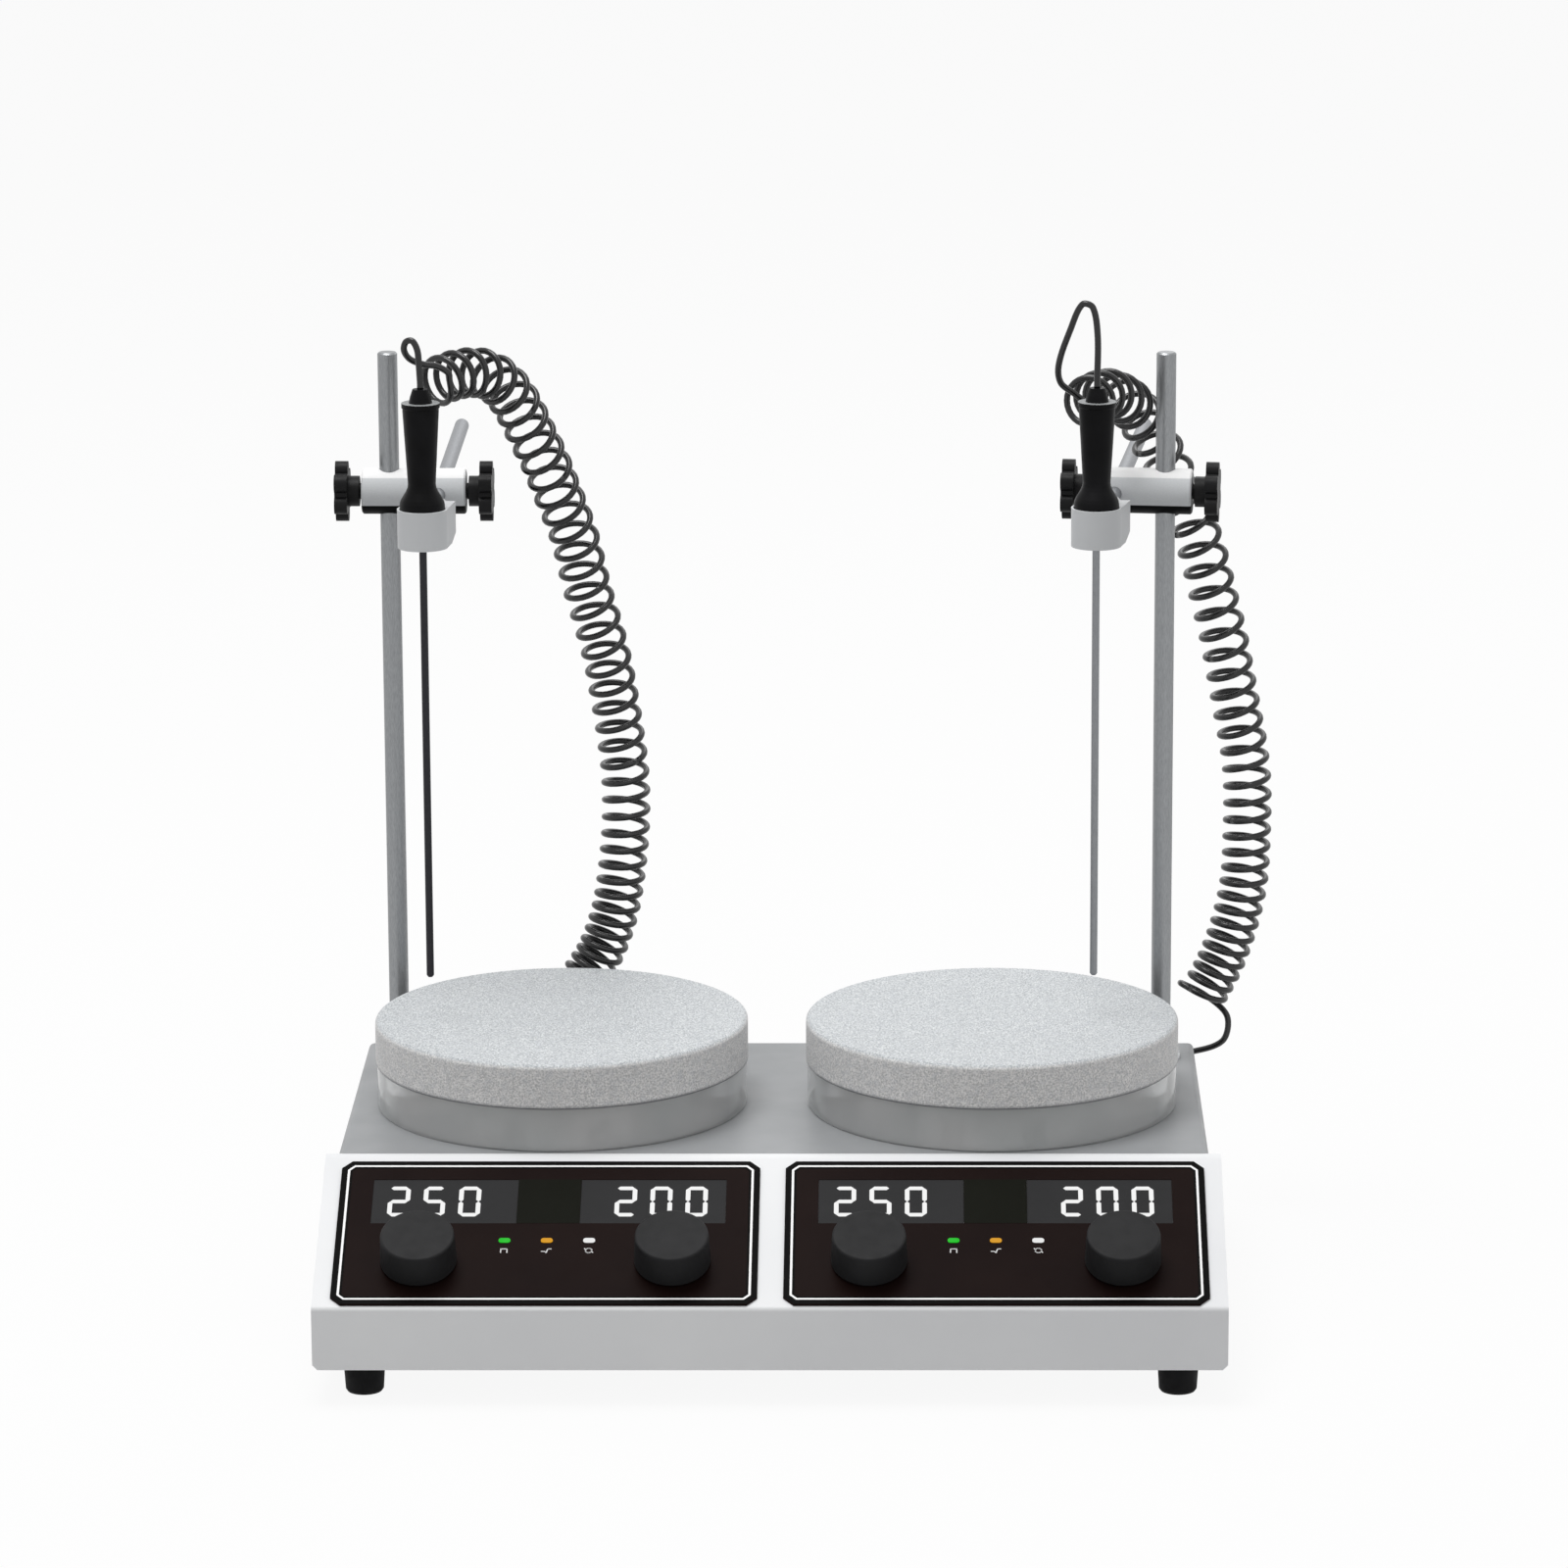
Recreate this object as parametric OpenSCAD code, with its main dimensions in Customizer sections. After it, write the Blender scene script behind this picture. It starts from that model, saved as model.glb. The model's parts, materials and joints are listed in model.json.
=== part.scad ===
/* [Housing] */
// Width of the front section that carries the control panels
front_w = 352; // [346:1:372]
// Width of the deck behind the front section
deck_w = 343; // [336:1:345]
// Depth of the housing from front to back
body_d = 242; // [240:1:260]
// Height of the housing without its feet
body_h = 62.5; // [60:0.5:75]
// Height of the upright front face
front_face_h = 25; // [20:0.5:28]
// Depth of the sloping part, front to back
slope_run = 78.7; // [77:0.1:80]
// Thickness of the sheet metal
sheet_t = 1.2; // [1:0.1:1.5]
// Radius of the bend between slope and deck
slope_bend_r = 12; // [8:0.5:13]
// Radius of the crease above the front face
crease_r = 2; // [1.6:0.1:4]
// Radius of the bends along the deck's sides
deck_bend_r = 2.5; // [2:0.1:4]
// Chamfer of the front section's lower corners
corner_chamfer = 2; // [1:0.5:4]
// Height of the turned edges of the sheets
flange_h = 11; // [9:0.5:14]
// How far the rear panel sits inside the deck's edge
rear_inset = 1; // [0.5:0.1:2]
// Seam between two sheets
seam = 0.3; // [0.2:0.05:0.5]

/* [Feet] */
// Height of a foot
foot_h = 14.5; // [12:0.5:20]
// Diameter of a foot at its top
foot_top_d = 16.5; // [15:0.5:20]
// Diameter of a foot at the ground
foot_low_d = 14.8; // [13:0.1:16]
// Distance of a foot's centre from the deck's side
foot_inset_x = 14; // [13:0.5:20]
// Distance of a foot's centre from the housing's front or back
foot_inset_y = 20; // [14:0.5:26]
// Diameter of the foot screws
foot_screw_d = 3.8; // [3:0.1:4.5]

/* [Stations] */
// Distance between the two plates' centres
station_pitch = 173.4; // [170:0.2:176]
// Diameter of a hot plate
plate_d = 150; // [140:1:152]
// Thickness of a hot plate
plate_t = 18; // [15:0.5:24]
// Radius of a hot plate's upper edge
plate_round = 2; // [1:0.5:5]
// Gap between a plate's front and the slope
plate_front_gap = 0.9; // [0.5:0.1:3]
// Height of the clear collar under a plate
collar_h = 17.5; // [12:0.5:25]
// How far the collar stands back from the plate's edge
collar_step = 0.5; // [0.2:0.1:2]
// Wall of the clear collar
collar_wall = 3; // [2:0.1:3.4]
// Diameter of a post under a plate
post_d = 20; // [14:0.5:21]
// Gap between a post and the collar
post_gap = 0.5; // [0.3:0.1:2]
// Angle of the front posts below the plate's cross line
post_angle = 3; // [0:1:12]
// Diameter of the heater disc
heater_d = 92; // [70:1:98]
// Thickness of the heater disc
heater_t = 3; // [2:0.1:4]
// Thickness of the insulation disc
insulation_t = 5; // [3:0.1:6]

/* [Drive] */
// Diameter of a motor
motor_d = 54; // [40:1:60]
// Height of a motor
motor_h = 25; // [20:0.5:26]
// Diameter of a motor shaft
shaft_d = 6; // [4:0.5:8]
// Diameter of the magnet yoke
yoke_d = 68; // [60:1:76]
// Thickness of the magnet yoke
yoke_t = 4; // [3:0.5:6]
// Diameter of a drive magnet
magnet_d = 20; // [12:0.5:24]
// Height of a drive magnet
magnet_h = 7; // [5:0.5:8]
// Distance between the two drive magnets' centres
magnet_pitch = 42; // [34:1:46]

/* [Control panels] */
// Width of a control panel
panel_w = 164; // [160:0.5:165]
// Length of a control panel along the slope
panel_l = 81.5; // [78:0.5:82]
// Thickness of a control panel
panel_t = 1; // [0.6:0.1:1.5]
// Chamfer of a control panel's corners
panel_chamfer = 4; // [2:0.5:6]
// Distance between the two control panels' centres
panel_pitch = 174; // [172:0.5:177]
// Width of a display window
window_w = 56.7; // [50:0.1:58]
// Height of a display window along the slope
window_h = 25.2; // [20:0.1:26]
// Width of the dark strip between the windows
window_gap = 24.6; // [16:0.1:26]
// Height of a digit
digit_h = 17; // [12:0.1:18]
// Width of a digit
digit_w = 8.6; // [6:0.1:9]
// Distance from digit to digit
digit_pitch = 13.8; // [11:0.1:14]
// Width of a digit's strokes
stroke = 1.8; // [1.2:0.1:2.2]
// Distance between the indicator lights
led_pitch = 16.4; // [12:0.1:18]
// Width of an indicator light
led_w = 4.6; // [3:0.1:6]
// Height of an indicator light
led_h = 2.4; // [1.5:0.1:3]
// Diameter of a knob at its foot
knob_d = 29.6; // [22:0.2:32]
// Height of a knob
knob_h = 13.4; // [10:0.2:18]
// Distance of a knob from its panel's centre line
knob_x = 49; // [40:0.5:60]
// Diameter of the knobs' spindles
spindle_d = 6; // [4:0.5:6.5]

/* [Stands] */
// Diameter of a support rod
rod_d = 8; // [6:0.5:10]
// Height of a support rod above the deck
rod_h = 295; // [280:1:330]
// Distance of a rod's centre from the deck's side
rod_inset_x = 14.5; // [13:0.5:16]
// Distance of a rod's centre from the housing's back
rod_inset_y = 21; // [18:0.5:26]
// Depth of a rod in its socket
rod_seat = 24; // [16:1:30]
// Diameter of a clamp
clamp_d = 18.5; // [17:0.5:22]
// Distance between the clamp's two holes
hole_pitch = 20; // [16:0.5:24]
// Distance from a hole's centre to the clamp's end
hole_end = 11; // [9:0.5:14]
// Diameter of a cross arm
arm_d = 6; // [5:0.5:8]
// Length of a cross arm
arm_l = 200; // [180:1:220]
// Distance from a clamp's centre to the arm's front end
arm_front = 55; // [50:1:70]
// Angle of the right clamp on its rod
right_turn = -6.5; // [-10:0.5:0]
// Diameter of a clamp knob over its lobes
star_d = 24.6; // [18:0.2:26]
// Thickness of a clamp knob's head
star_t = 5.2; // [4:0.2:8]
// Number of lobes of a clamp knob
star_lobes = 6; // [4:1:8]

/* [Probes] */
// Diameter of a probe holder
holder_d = 20; // [19:0.5:24]
// Height of a probe holder
holder_h = 15.5; // [14:0.5:20]
// How far a holder's block runs back from its probe
holder_back = 16; // [12:0.5:18]
// Length of the slant under the back of a holder's block
slant_l = 8; // [1:0.5:9]
// Height of that slant
slant_h = 3; // [1:0.5:6]
// Diameter of the holder's boss around the arm
boss_d = 15.4; // [12:0.2:16]
// Distance from arm to probe, sideways
probe_side = 2.1; // [0:0.1:3]
// Diameter of a probe tube
probe_d = 3; // [2:0.5:4]
// Length of a probe tube below its handle
probe_l = 190; // [160:1:215]
// Gap between a probe's tip and its hot plate
probe_gap = 17; // [8:0.5:30]
// Length of a handle from its bell to its cap
handle_h = 44; // [38:1:60]
// Diameter of a handle's bell
bell_d = 18; // [14:0.2:18]
// Diameter of a handle's neck
neck_d = 11; // [9:0.1:13]
// Diameter of a handle's shoulder
shoulder_d = 14.4; // [13:0.1:18]
// Height of the strain relief on a handle
relief_h = 5.5; // [4:0.5:12]

/* [Cords] */
// Diameter of the cord
cord_d = 2.6; // [1.8:0.1:2.8]
// Outer diameter of the curls
curl_d = 20.5; // [17:0.5:21]
// Number of curls on the left cord
curls_left = 42; // [38:1:44]
// Number of curls on the right cord
curls_right = 39; // [36:1:42]
// Pitch of the last curl as a share of the first
pitch_ratio = 0.4; // [0.35:0.05:1]
// How much closer the left cord's first curls lie, as a share
bunching_left = 0.7; // [0:0.05:0.75]
// How much closer the right cord's first curls lie, as a share
bunching_right = 0.3; // [0:0.05:0.4]

/* [Rear panel] */
// Distance of the rear fittings above the base
fitting_z = 29; // [26:0.5:34]
// Sideways distance of a sensor socket from its plate's centre
socket_x = 40; // [36:1:44]
// Diameter of a sensor socket's barrel
socket_d = 11.8; // [9:0.2:13]
// Place of the power inlet across the rear panel
inlet_x = 36; // [34:1:40]
// Place of the power switch across the rear panel
switch_x = 84; // [80:1:90]
// Number of ventilation slots
vents = 10; // [6:1:11]

/* [Hidden] */
$fn = 48;

// A hair that makes cuts pass through
cut = 1;
// Gap between a shaft and its hole, on the radius
running = 0.05;
// Gap between pieces that stand still side by side
snug = 0.05;

// Levels and lines of the housing
y_front = -body_d / 2;
y_back = body_d / 2;
z_base = foot_h;
z_crease = z_base + front_face_h;
z_deck = z_base + body_h;
z_floor = z_base + sheet_t;
slope_a = atan((z_deck - z_crease) / slope_run);
y_lip = y_front + slope_run + slope_bend_r * tan(slope_a / 2);
y_rear_panel = y_back - rear_inset;
deck_in = deck_w / 2 - sheet_t - seam;
lip_h = 6;

// Places of the stations
station_x = station_pitch / 2;
station_y = y_lip + plate_front_gap + plate_d / 2;
z_collar = z_deck + collar_h;
z_plate = z_collar + plate_t;
collar_r = plate_d / 2 - collar_step;
post_reach = collar_r - collar_wall - post_gap - post_d / 2;
recess_r = post_reach - post_d / 2 - 1.5;
recess_h = heater_t + insulation_t + 0.6;
plate_chamfer = 0.6;

// Drive, from the base upwards
bracket_t = 2;
motor_z = z_floor + 2;
bracket_z = motor_z + motor_h;
magnet_top = z_deck - sheet_t - 1.8;
yoke_z = magnet_top - magnet_h - yoke_t;
hub_d = 16;

// Lines on the slope, measured upwards from the crease
panel_x = panel_pitch / 2;
panel_s = 1.2;
window_s = panel_s + panel_l - 10.6 - window_h;
window_x = (window_w + window_gap) / 2;
digit_s = window_s + (window_h - digit_h) / 2;
digit_in = 6.1;
digit_out = 13.3;
knob_s = panel_s + 24;
led_s = knob_s + 11.8;
knob_gap = 0.6;
encoder_size = 12;
encoder_h = 6.5;
bush_d = spindle_d + 1;
board_t = 1.6;
led_x = [-led_pitch, 0, led_pitch];

// Places of the stands
rod_socket_wall = 2;
rod_socket_rim = 2.5;
rod_x = deck_w / 2 - rod_inset_x;
rod_y = y_back - rod_inset_y;
holder_up = 6;
recess_in = 1.5;
z_clamp = z_plate + probe_gap + probe_l + recess_in - holder_up;
arm_chamfer = 1;
screw_d = 4;
screw_tip = 0.1;
star_gap = 1.2;
star_hub_d = 12.4;
star_hub_h = 4.4;

// Places of the probes, from the clamp's centre
probe_front = arm_front + 12;
z_holder = z_clamp + holder_up - holder_h;
z_bell = z_holder + holder_h - recess_in;
z_cap = z_bell + handle_h;
z_relief = z_cap + relief_h;
handle_seat = 6;

// Rear fittings
z_fitting = z_base + fitting_z;
inlet_w = 48;
inlet_h = 28;
inlet_body_w = 30;
inlet_body_h = 23;
inlet_depth = 18;
socket_reach = 6;
socket_depth = 10;
socket_flange = 3.4;
plug_ring_d = socket_d + socket_flange;
plug_ring_l = 13;
plug_body_l = 9;
plug_boot_l = 11;
y_plug = y_rear_panel + 2.4;
y_plug_end = y_plug + plug_ring_l + plug_body_l + plug_boot_l;

// The way each coil's middle runs, from its probe down to its socket
coil_route_left = [[-134.5, 50, 368.5], [-128, 57, 370], [-121.5, 64, 370], [-115, 71, 368],
    [-109, 78, 362], [-104, 85, 353], [-99, 93, 340], [-94, 101, 327], [-89.5, 110, 312],
    [-86, 116, 301], [-83, 121, 290], [-79, 129, 269], [-75, 134, 253], [-71.5, 139, 237],
    [-69, 144, 220], [-67, 147, 205], [-65, 150, 185], [-65, 150, 164], [-67, 150, 143],
    [-70, 150, 126], [-76, 150, 109], [-84, 150, 96]];
coil_route_right = [[123.5, 62, 358.5], [128, 72, 359], [133, 84, 358], [138.5, 96, 354],
    [144, 109, 347.5], [150, 117, 338], [154.5, 122, 329], [158.5, 125.5, 321], [163, 129, 310],
    [168.5, 132, 298], [174, 136, 282], [178.5, 140, 264], [183, 143, 246], [186.5, 146, 228],
    [189.5, 148, 212], [192.5, 150, 196], [194, 150, 181], [194, 150, 158], [193, 150, 139],
    [189, 150, 120], [183.5, 150, 104], [177, 150, 91]];

// The free stretch above each handle, between the strain relief and the coil
lead_route_left = [[-139.5, 33, 379], [-140, 33, 384.5], [-142, 34, 388], [-144.5, 35, 387.5],
    [-145.5, 36.5, 384], [-143.5, 39, 380], [-138.5, 41, 377.5], [-133, 42, 376.5]];
lead_route_right = [[127.5, 36, 390], [125.5, 36.5, 401], [121.5, 37.5, 402], [117, 41.5, 391.5],
    [112.5, 48, 376], [113.5, 52, 368], [119.5, 53.5, 363], [127, 55.5, 356], [129.5, 58.5, 350]];

// The free stretch between each coil and its plug
tail_route_left = [[-47, 162, 44], [-50, 169, 48], [-60, 168, 57], [-72, 158, 68],
    [-83, 144, 77], [-88, 138, 88], [-86.5, 137.5, 95]];
tail_route_right = [[127, 162, 44], [131, 169, 46], [147, 169, 54], [170, 159, 62],
    [185, 153, 69], [187, 156, 79], [178, 160, 87], [168, 155, 93.5]];

// Where each coil's tube starts on its circle, and the direction its circles are turned from
coil_start_left = 180;
coil_start_right = 280;
coil_ref_left = [-0.64, 0.77, 0];
coil_ref_right = [-0.8, 0.6, 0];
curl_rings = 8;
coil_sides = 6;
cord_sides = 8;
rings_per_point = 2;

// Points on an arc
function arc(c, r, a0, a1, n) =
    [for (i = [0 : n]) c + r * [cos(a0 + (a1 - a0) * i / n), sin(a0 + (a1 - a0) * i / n)]];
function backwards(list) = [for (i = [len(list) - 1 : -1 : 0]) list[i]];
function unit(v) = v / norm(v);
// The part of a vector that is square to a direction
function square_to(v, d) = unit(v - d * (v * d));

// A smooth curve through points, by the distance along their chords
function chords(p, i = 0, sum = 0) =
    i == len(p) - 1 ? [sum] : concat([sum], chords(p, i + 1, sum + norm(p[i + 1] - p[i])));
function slope_at(p, k, i) =
    let (a = max(i - 1, 0), b = min(i + 1, len(p) - 1)) (p[b] - p[a]) / (k[b] - k[a]);
function span_of(k, s, i = 0) = i >= len(k) - 2 || s < k[i + 1] ? i : span_of(k, s, i + 1);
function curve_at(p, k, s) =
    let (i = span_of(k, s), h = k[i + 1] - k[i], t = (s - k[i]) / h)
    p[i] * (1 - 3 * t * t + 2 * t * t * t) + p[i + 1] * (3 * t * t - 2 * t * t * t)
    + slope_at(p, k, i) * h * (t - 2 * t * t + t * t * t)
    + slope_at(p, k, i + 1) * h * (t * t * t - t * t);
function heading(p, k, s) =
    unit(curve_at(p, k, min(s + 0.5, k[len(k) - 1])) - curve_at(p, k, max(s - 0.5, 0)));

// The place along a coil's middle after so many curls: the pitch shrinks evenly down the coil,
// and the first few curls bunch up. Each law holds the curls, how closely the first ones bunch up
// and how soon that ends
law_left = [curls_left, bunching_left, 3];
law_right = [curls_right, bunching_right, 6];
function coil_s(long, turns, law) =
    let (u = turns / law[0])
    long * u * ((2 - (1 - pitch_ratio) * u) / (1 + pitch_ratio) - law[1] * pow(1 - u, law[2]));
curl_r = (curl_d - cord_d) / 2;
function coil_steps(p, law) =
    let (k = chords(p))
    [for (i = [0 : law[0] * curl_rings]) coil_s(k[len(k) - 1], i / curl_rings, law)];
function coil_outs(p, steps, ref, start) =
    let (k = chords(p))
    [for (i = [0 : len(steps) - 1])
        let (d = heading(p, k, steps[i]), n = square_to(ref, d), a = start + 360 * i / curl_rings)
        n * cos(a) + cross(d, n) * sin(a)];
function coil_path(p, steps, outs) =
    let (k = chords(p)) [for (i = [0 : len(steps) - 1]) curve_at(p, k, steps[i]) + curl_r * outs[i]];
// A coil's path with a straight end of one cord diameter at each side
function with_ends(path) =
    let (n = len(path) - 1)
    concat([path[0] - cord_d * unit(path[1] - path[0])], path,
        [path[n] + cord_d * unit(path[n] - path[n - 1])]);

// A tube along a path: directions, frames, rings and faces
function path_dirs(path) =
    let (n = len(path) - 1)
    [for (i = [0 : n])
        i == 0 ? unit(path[1] - path[0])
        : i == n ? unit(path[n] - path[n - 1])
        : unit(unit(path[i + 1] - path[i]) + unit(path[i] - path[i - 1]))];
function carried(dirs, i, v) =
    i == len(dirs) ? [] : let (u = square_to(v, dirs[i])) concat([u], carried(dirs, i + 1, u));
function tube_points(path, dirs, ups, r, sides) =
    [for (i = [0 : len(path) - 1]) for (j = [0 : sides - 1])
        let (u = square_to(ups[i], dirs[i]), v = cross(dirs[i], u), a = 360 * j / sides)
        path[i] + r * (u * cos(a) + v * sin(a))];
function tube_faces(rings, sides) = concat(
    [for (j = [1 : sides - 2]) [0, j, j + 1]],
    [for (i = [0 : rings - 2]) for (j = [0 : sides - 1]) for (half = [0, 1])
        let (a = i * sides + j, b = i * sides + (j + 1) % sides)
        half == 0 ? [a, a + sides, b] : [b, a + sides, b + sides]],
    [for (j = [1 : sides - 2])
        [(rings - 1) * sides, (rings - 1) * sides + j + 1, (rings - 1) * sides + j]]);
module tube(path, ups, sides) {
    dirs = path_dirs(path);
    polyhedron(tube_points(path, dirs, ups, cord_d / 2, sides), tube_faces(len(path), sides));
}

// A free stretch's path: a straight end, the smooth route, a straight end
function stretch_path(from, route, to) =
    let (p = concat(from, route, to), k = chords(p), last = len(p) - 1, n = rings_per_point * (last - 2))
    concat([from[0]], [for (i = [0 : n]) curve_at(p, k, k[1] + (k[last - 1] - k[1]) * i / n)], [p[last]]);
module stretch(path) {
    dirs = path_dirs(path);
    first = abs(dirs[0] * [0, 0, 1]) > 0.7 ? [0, 1, 0] : [0, 0, 1];
    tube(path, carried(dirs, 0, first), cord_sides);
}

function both_ends(list) = concat([list[0]], list, [list[len(list) - 1]]);
steps_left = coil_steps(coil_route_left, law_left);
steps_right = coil_steps(coil_route_right, law_right);
outs_left = coil_outs(coil_route_left, steps_left, coil_ref_left, coil_start_left);
outs_right = coil_outs(coil_route_right, steps_right, coil_ref_right, coil_start_right);
coil_left = with_ends(coil_path(coil_route_left, steps_left, outs_left));
coil_right = with_ends(coil_path(coil_route_right, steps_right, outs_right));
function first_dir(path) = unit(path[1] - path[0]);
function last_dir(path) = unit(path[len(path) - 1] - path[len(path) - 2]);

// The least gap between a coil's turns, measured between points at least half a curl apart
function coil_gap(path) = min([for (i = [0 : len(path) - 1])
    let (far = min(len(path) - 1, i + 3 * curl_rings))
    for (j = [i + 4 : 1 : far]) norm(path[j] - path[i])]) - cord_d;
echo(least_gap_left = coil_gap(coil_left), least_gap_right = coil_gap(coil_right));

// Turned and placed drawing planes
module along_x(length) {
    translate([-length / 2, 0, 0]) rotate([90, 0, 90]) linear_extrude(height = length) children();
}
module along_y(y0, y1) {
    translate([0, y1, 0]) rotate([90, 0, 0]) linear_extrude(height = y1 - y0) children();
}
module block(x0, x1, y0, y1, z0, z1) {
    translate([x0, y0, z0]) cube([x1 - x0, y1 - y0, z1 - z0]);
}
module on_slope() {
    translate([0, y_front, z_crease]) rotate([slope_a, 0, 0]) children();
}
module at_stations() {
    for (side = [-1, 1]) translate([side * station_x, station_y, 0]) children();
}
module at_feet() {
    for (x = [-1, 1]) for (y = [-1, 1])
        translate([x * (deck_w / 2 - foot_inset_x), y * (body_d / 2 - foot_inset_y), 0]) children();
}
module rounded_bar(w, h) {
    square([w - h, h], center = true);
    for (x = [-1, 1]) translate([x * (w - h) / 2, 0]) circle(d = h, $fn = 24);
}
module chamfered(w, h, c) {
    polygon([[-w / 2 + c, -h / 2], [w / 2 - c, -h / 2], [w / 2, -h / 2 + c], [w / 2, h / 2 - c],
        [w / 2 - c, h / 2], [-w / 2 + c, h / 2], [-w / 2, h / 2 - c], [-w / 2, -h / 2 + c]]);
}

// The front section's outline in side view, set in by a sheet's thickness
function front_line(t) =
    let (n = [-sin(slope_a), cos(slope_a)],
        c1 = [y_front + crease_r, z_crease - crease_r * (1 - sin(slope_a)) / cos(slope_a)],
        c2 = [y_lip, z_deck - slope_bend_r])
    concat([[y_front + t, z_base]],
        arc(c1, crease_r - t, 180, 90 + slope_a, 4),
        arc(c2, slope_bend_r - t, 90 + slope_a, 90 + asin(t / (slope_bend_r - t)), 6));
module front_sheet() {
    polygon(concat(front_line(0), [[y_lip, z_deck - lip_h], [y_lip - sheet_t, z_deck - lip_h]],
        backwards(front_line(sheet_t))));
}
module front_cheek() {
    polygon(concat(front_line(0), [[y_lip, z_base]]));
}
module panel_openings() {
    strip_w = 2 * window_x + window_w - 4;
    translate([0, window_s + window_h / 2]) square([strip_w, window_h - 3], center = true);
    translate([0, led_s]) square([2 * led_pitch + led_w + 2, led_h + 2], center = true);
    for (x = [-1, 1]) translate([x * knob_x, knob_s]) circle(d = bush_d + 2 * snug);
}
module front_housing() color("gainsboro") difference() {
    union() {
        along_x(front_w - 2 * sheet_t) front_sheet();
        for (x = [-1, 1]) translate([x * (front_w - sheet_t) / 2, 0, 0]) along_x(sheet_t) front_cheek();
        for (m = [0, 1]) mirror([m, 0, 0])
            block(deck_in - 3, front_w / 2 - sheet_t, y_lip - sheet_t, y_lip, z_floor + seam, z_deck - sheet_t);
    }
    for (side = [-1, 1]) on_slope() translate([side * panel_x, 0, -8])
        linear_extrude(height = 12) panel_openings();
    for (x = [-1, 1]) translate([x * front_w / 2, 0, z_base]) rotate([90, 0, 0])
        cylinder(r = corner_chamfer, h = 2 * body_d, center = true, $fn = 4);
}

// The deck and its sides, in front view
function deck_line(t) =
    let (r = deck_bend_r, x = deck_w / 2 - r, z = z_deck - r)
    concat([[-deck_w / 2 + t, z_base]], arc([-x, z], r - t, 180, 90, 5),
        arc([x, z], r - t, 90, 0, 5), [[deck_w / 2 - t, z_base]]);
side_screw_y = [-20, 42, 100];
side_screw_z = z_base + flange_h / 2 + 1;
module top_deck() color("darkgray") difference() {
    along_y(y_lip + seam, y_back) polygon(concat(deck_line(0), backwards(deck_line(sheet_t))));
    for (x = [-1, 1]) translate([x * rod_x, rod_y, z_deck - 2 * cut])
        cylinder(d = rod_d + 2 * rod_socket_wall + 2 * snug, h = 4 * cut);
    at_stations() for (a = [-post_angle, 180 + post_angle, 90]) rotate([0, 0, a])
        translate([post_reach, 0, z_deck - 2 * cut]) cylinder(d = 4.2, h = 4 * cut);
    for (y = side_screw_y) translate([0, y, side_screw_z]) rotate([0, 90, 0])
        cylinder(d = 3.2, h = deck_w + 2 * cut, center = true);
}

module base_pan() color("darkgray") difference() {
    fit = sheet_t + seam;
    flange_x = deck_in - sheet_t;
    union() {
        block(-front_w / 2 + fit, front_w / 2 - fit, y_front + fit, y_lip - fit, z_base, z_floor);
        block(-deck_in, deck_in, y_lip - fit - cut, y_rear_panel, z_base, z_floor);
        for (x = [-1, 1]) translate([x * (deck_in - sheet_t / 2), 0, z_base + flange_h / 2])
            translate([0, (y_lip + y_back) / 2, 0])
            cube([sheet_t, y_back - y_lip - 2 * flange_h, flange_h], center = true);
        block(-flange_x + 6, flange_x - 6, y_rear_panel - 2 * sheet_t, y_rear_panel - sheet_t,
            z_base, z_base + flange_h);
        block(-front_w / 2 + 8, front_w / 2 - 8, y_front + fit, y_front + fit + sheet_t,
            z_base, z_base + flange_h);
    }
    at_feet() translate([0, 0, z_base - cut]) cylinder(d = foot_screw_d + 0.2, h = sheet_t + 2 * cut);
    for (y = side_screw_y) translate([0, y, side_screw_z]) rotate([0, 90, 0])
        cylinder(d = 3.2, h = deck_w, center = true);
    for (x = [-1, 1]) translate([x * (deck_w / 2 - 22), y_rear_panel, z_base + flange_h / 2 + 1])
        rotate([90, 0, 0]) cylinder(d = 3.2, h = 12, center = true);
    for (i = [0 : 7]) for (x = [-1, 1]) translate([x * (60 + 7 * i), 96, z_base])
        cube([3, 22, 4 * cut], center = true);
}

vent_pitch = 7;
vent_x = -rod_x + 6;
z_rear_top = z_deck - sheet_t - seam;
module rear_panel() color("darkgray") difference() {
    along_y(y_rear_panel - sheet_t, y_rear_panel) polygon([[-deck_in, z_floor], [deck_in, z_floor],
        [deck_in, z_rear_top - deck_bend_r], [deck_in - deck_bend_r, z_rear_top],
        [-deck_in + deck_bend_r, z_rear_top], [-deck_in, z_rear_top - deck_bend_r]]);
    translate([inlet_x, y_rear_panel, z_fitting])
        cube([inlet_body_w + 2 * snug, 4 * sheet_t, inlet_body_h + 2 * snug], center = true);
    translate([switch_x, y_rear_panel, z_fitting])
        cube([switch_w + 2 * snug, 4 * sheet_t, switch_h + 2 * snug], center = true);
    for (side = [-1, 1]) translate([side * station_x + socket_x, y_rear_panel, z_fitting])
        rotate([90, 0, 0]) cylinder(d = socket_d + 2 * snug, h = 4 * sheet_t, center = true);
    for (x = [-1, 1]) translate([inlet_x + x * (inlet_w / 2 - 4.5), y_rear_panel, z_fitting])
        rotate([90, 0, 0]) cylinder(d = 3.2, h = 4 * sheet_t, center = true);
    for (x = [-1, 1]) translate([x * (deck_w / 2 - 22), y_rear_panel, z_base + flange_h / 2 + 1])
        rotate([90, 0, 0]) cylinder(d = 3.2, h = 12, center = true);
    for (i = [0 : vents - 1]) translate([vent_x + vent_pitch * i, y_rear_panel, z_fitting])
        rotate([90, 0, 0]) linear_extrude(height = 4 * sheet_t, center = true)
        rotate(90) rounded_bar(26, 3);
}

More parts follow.
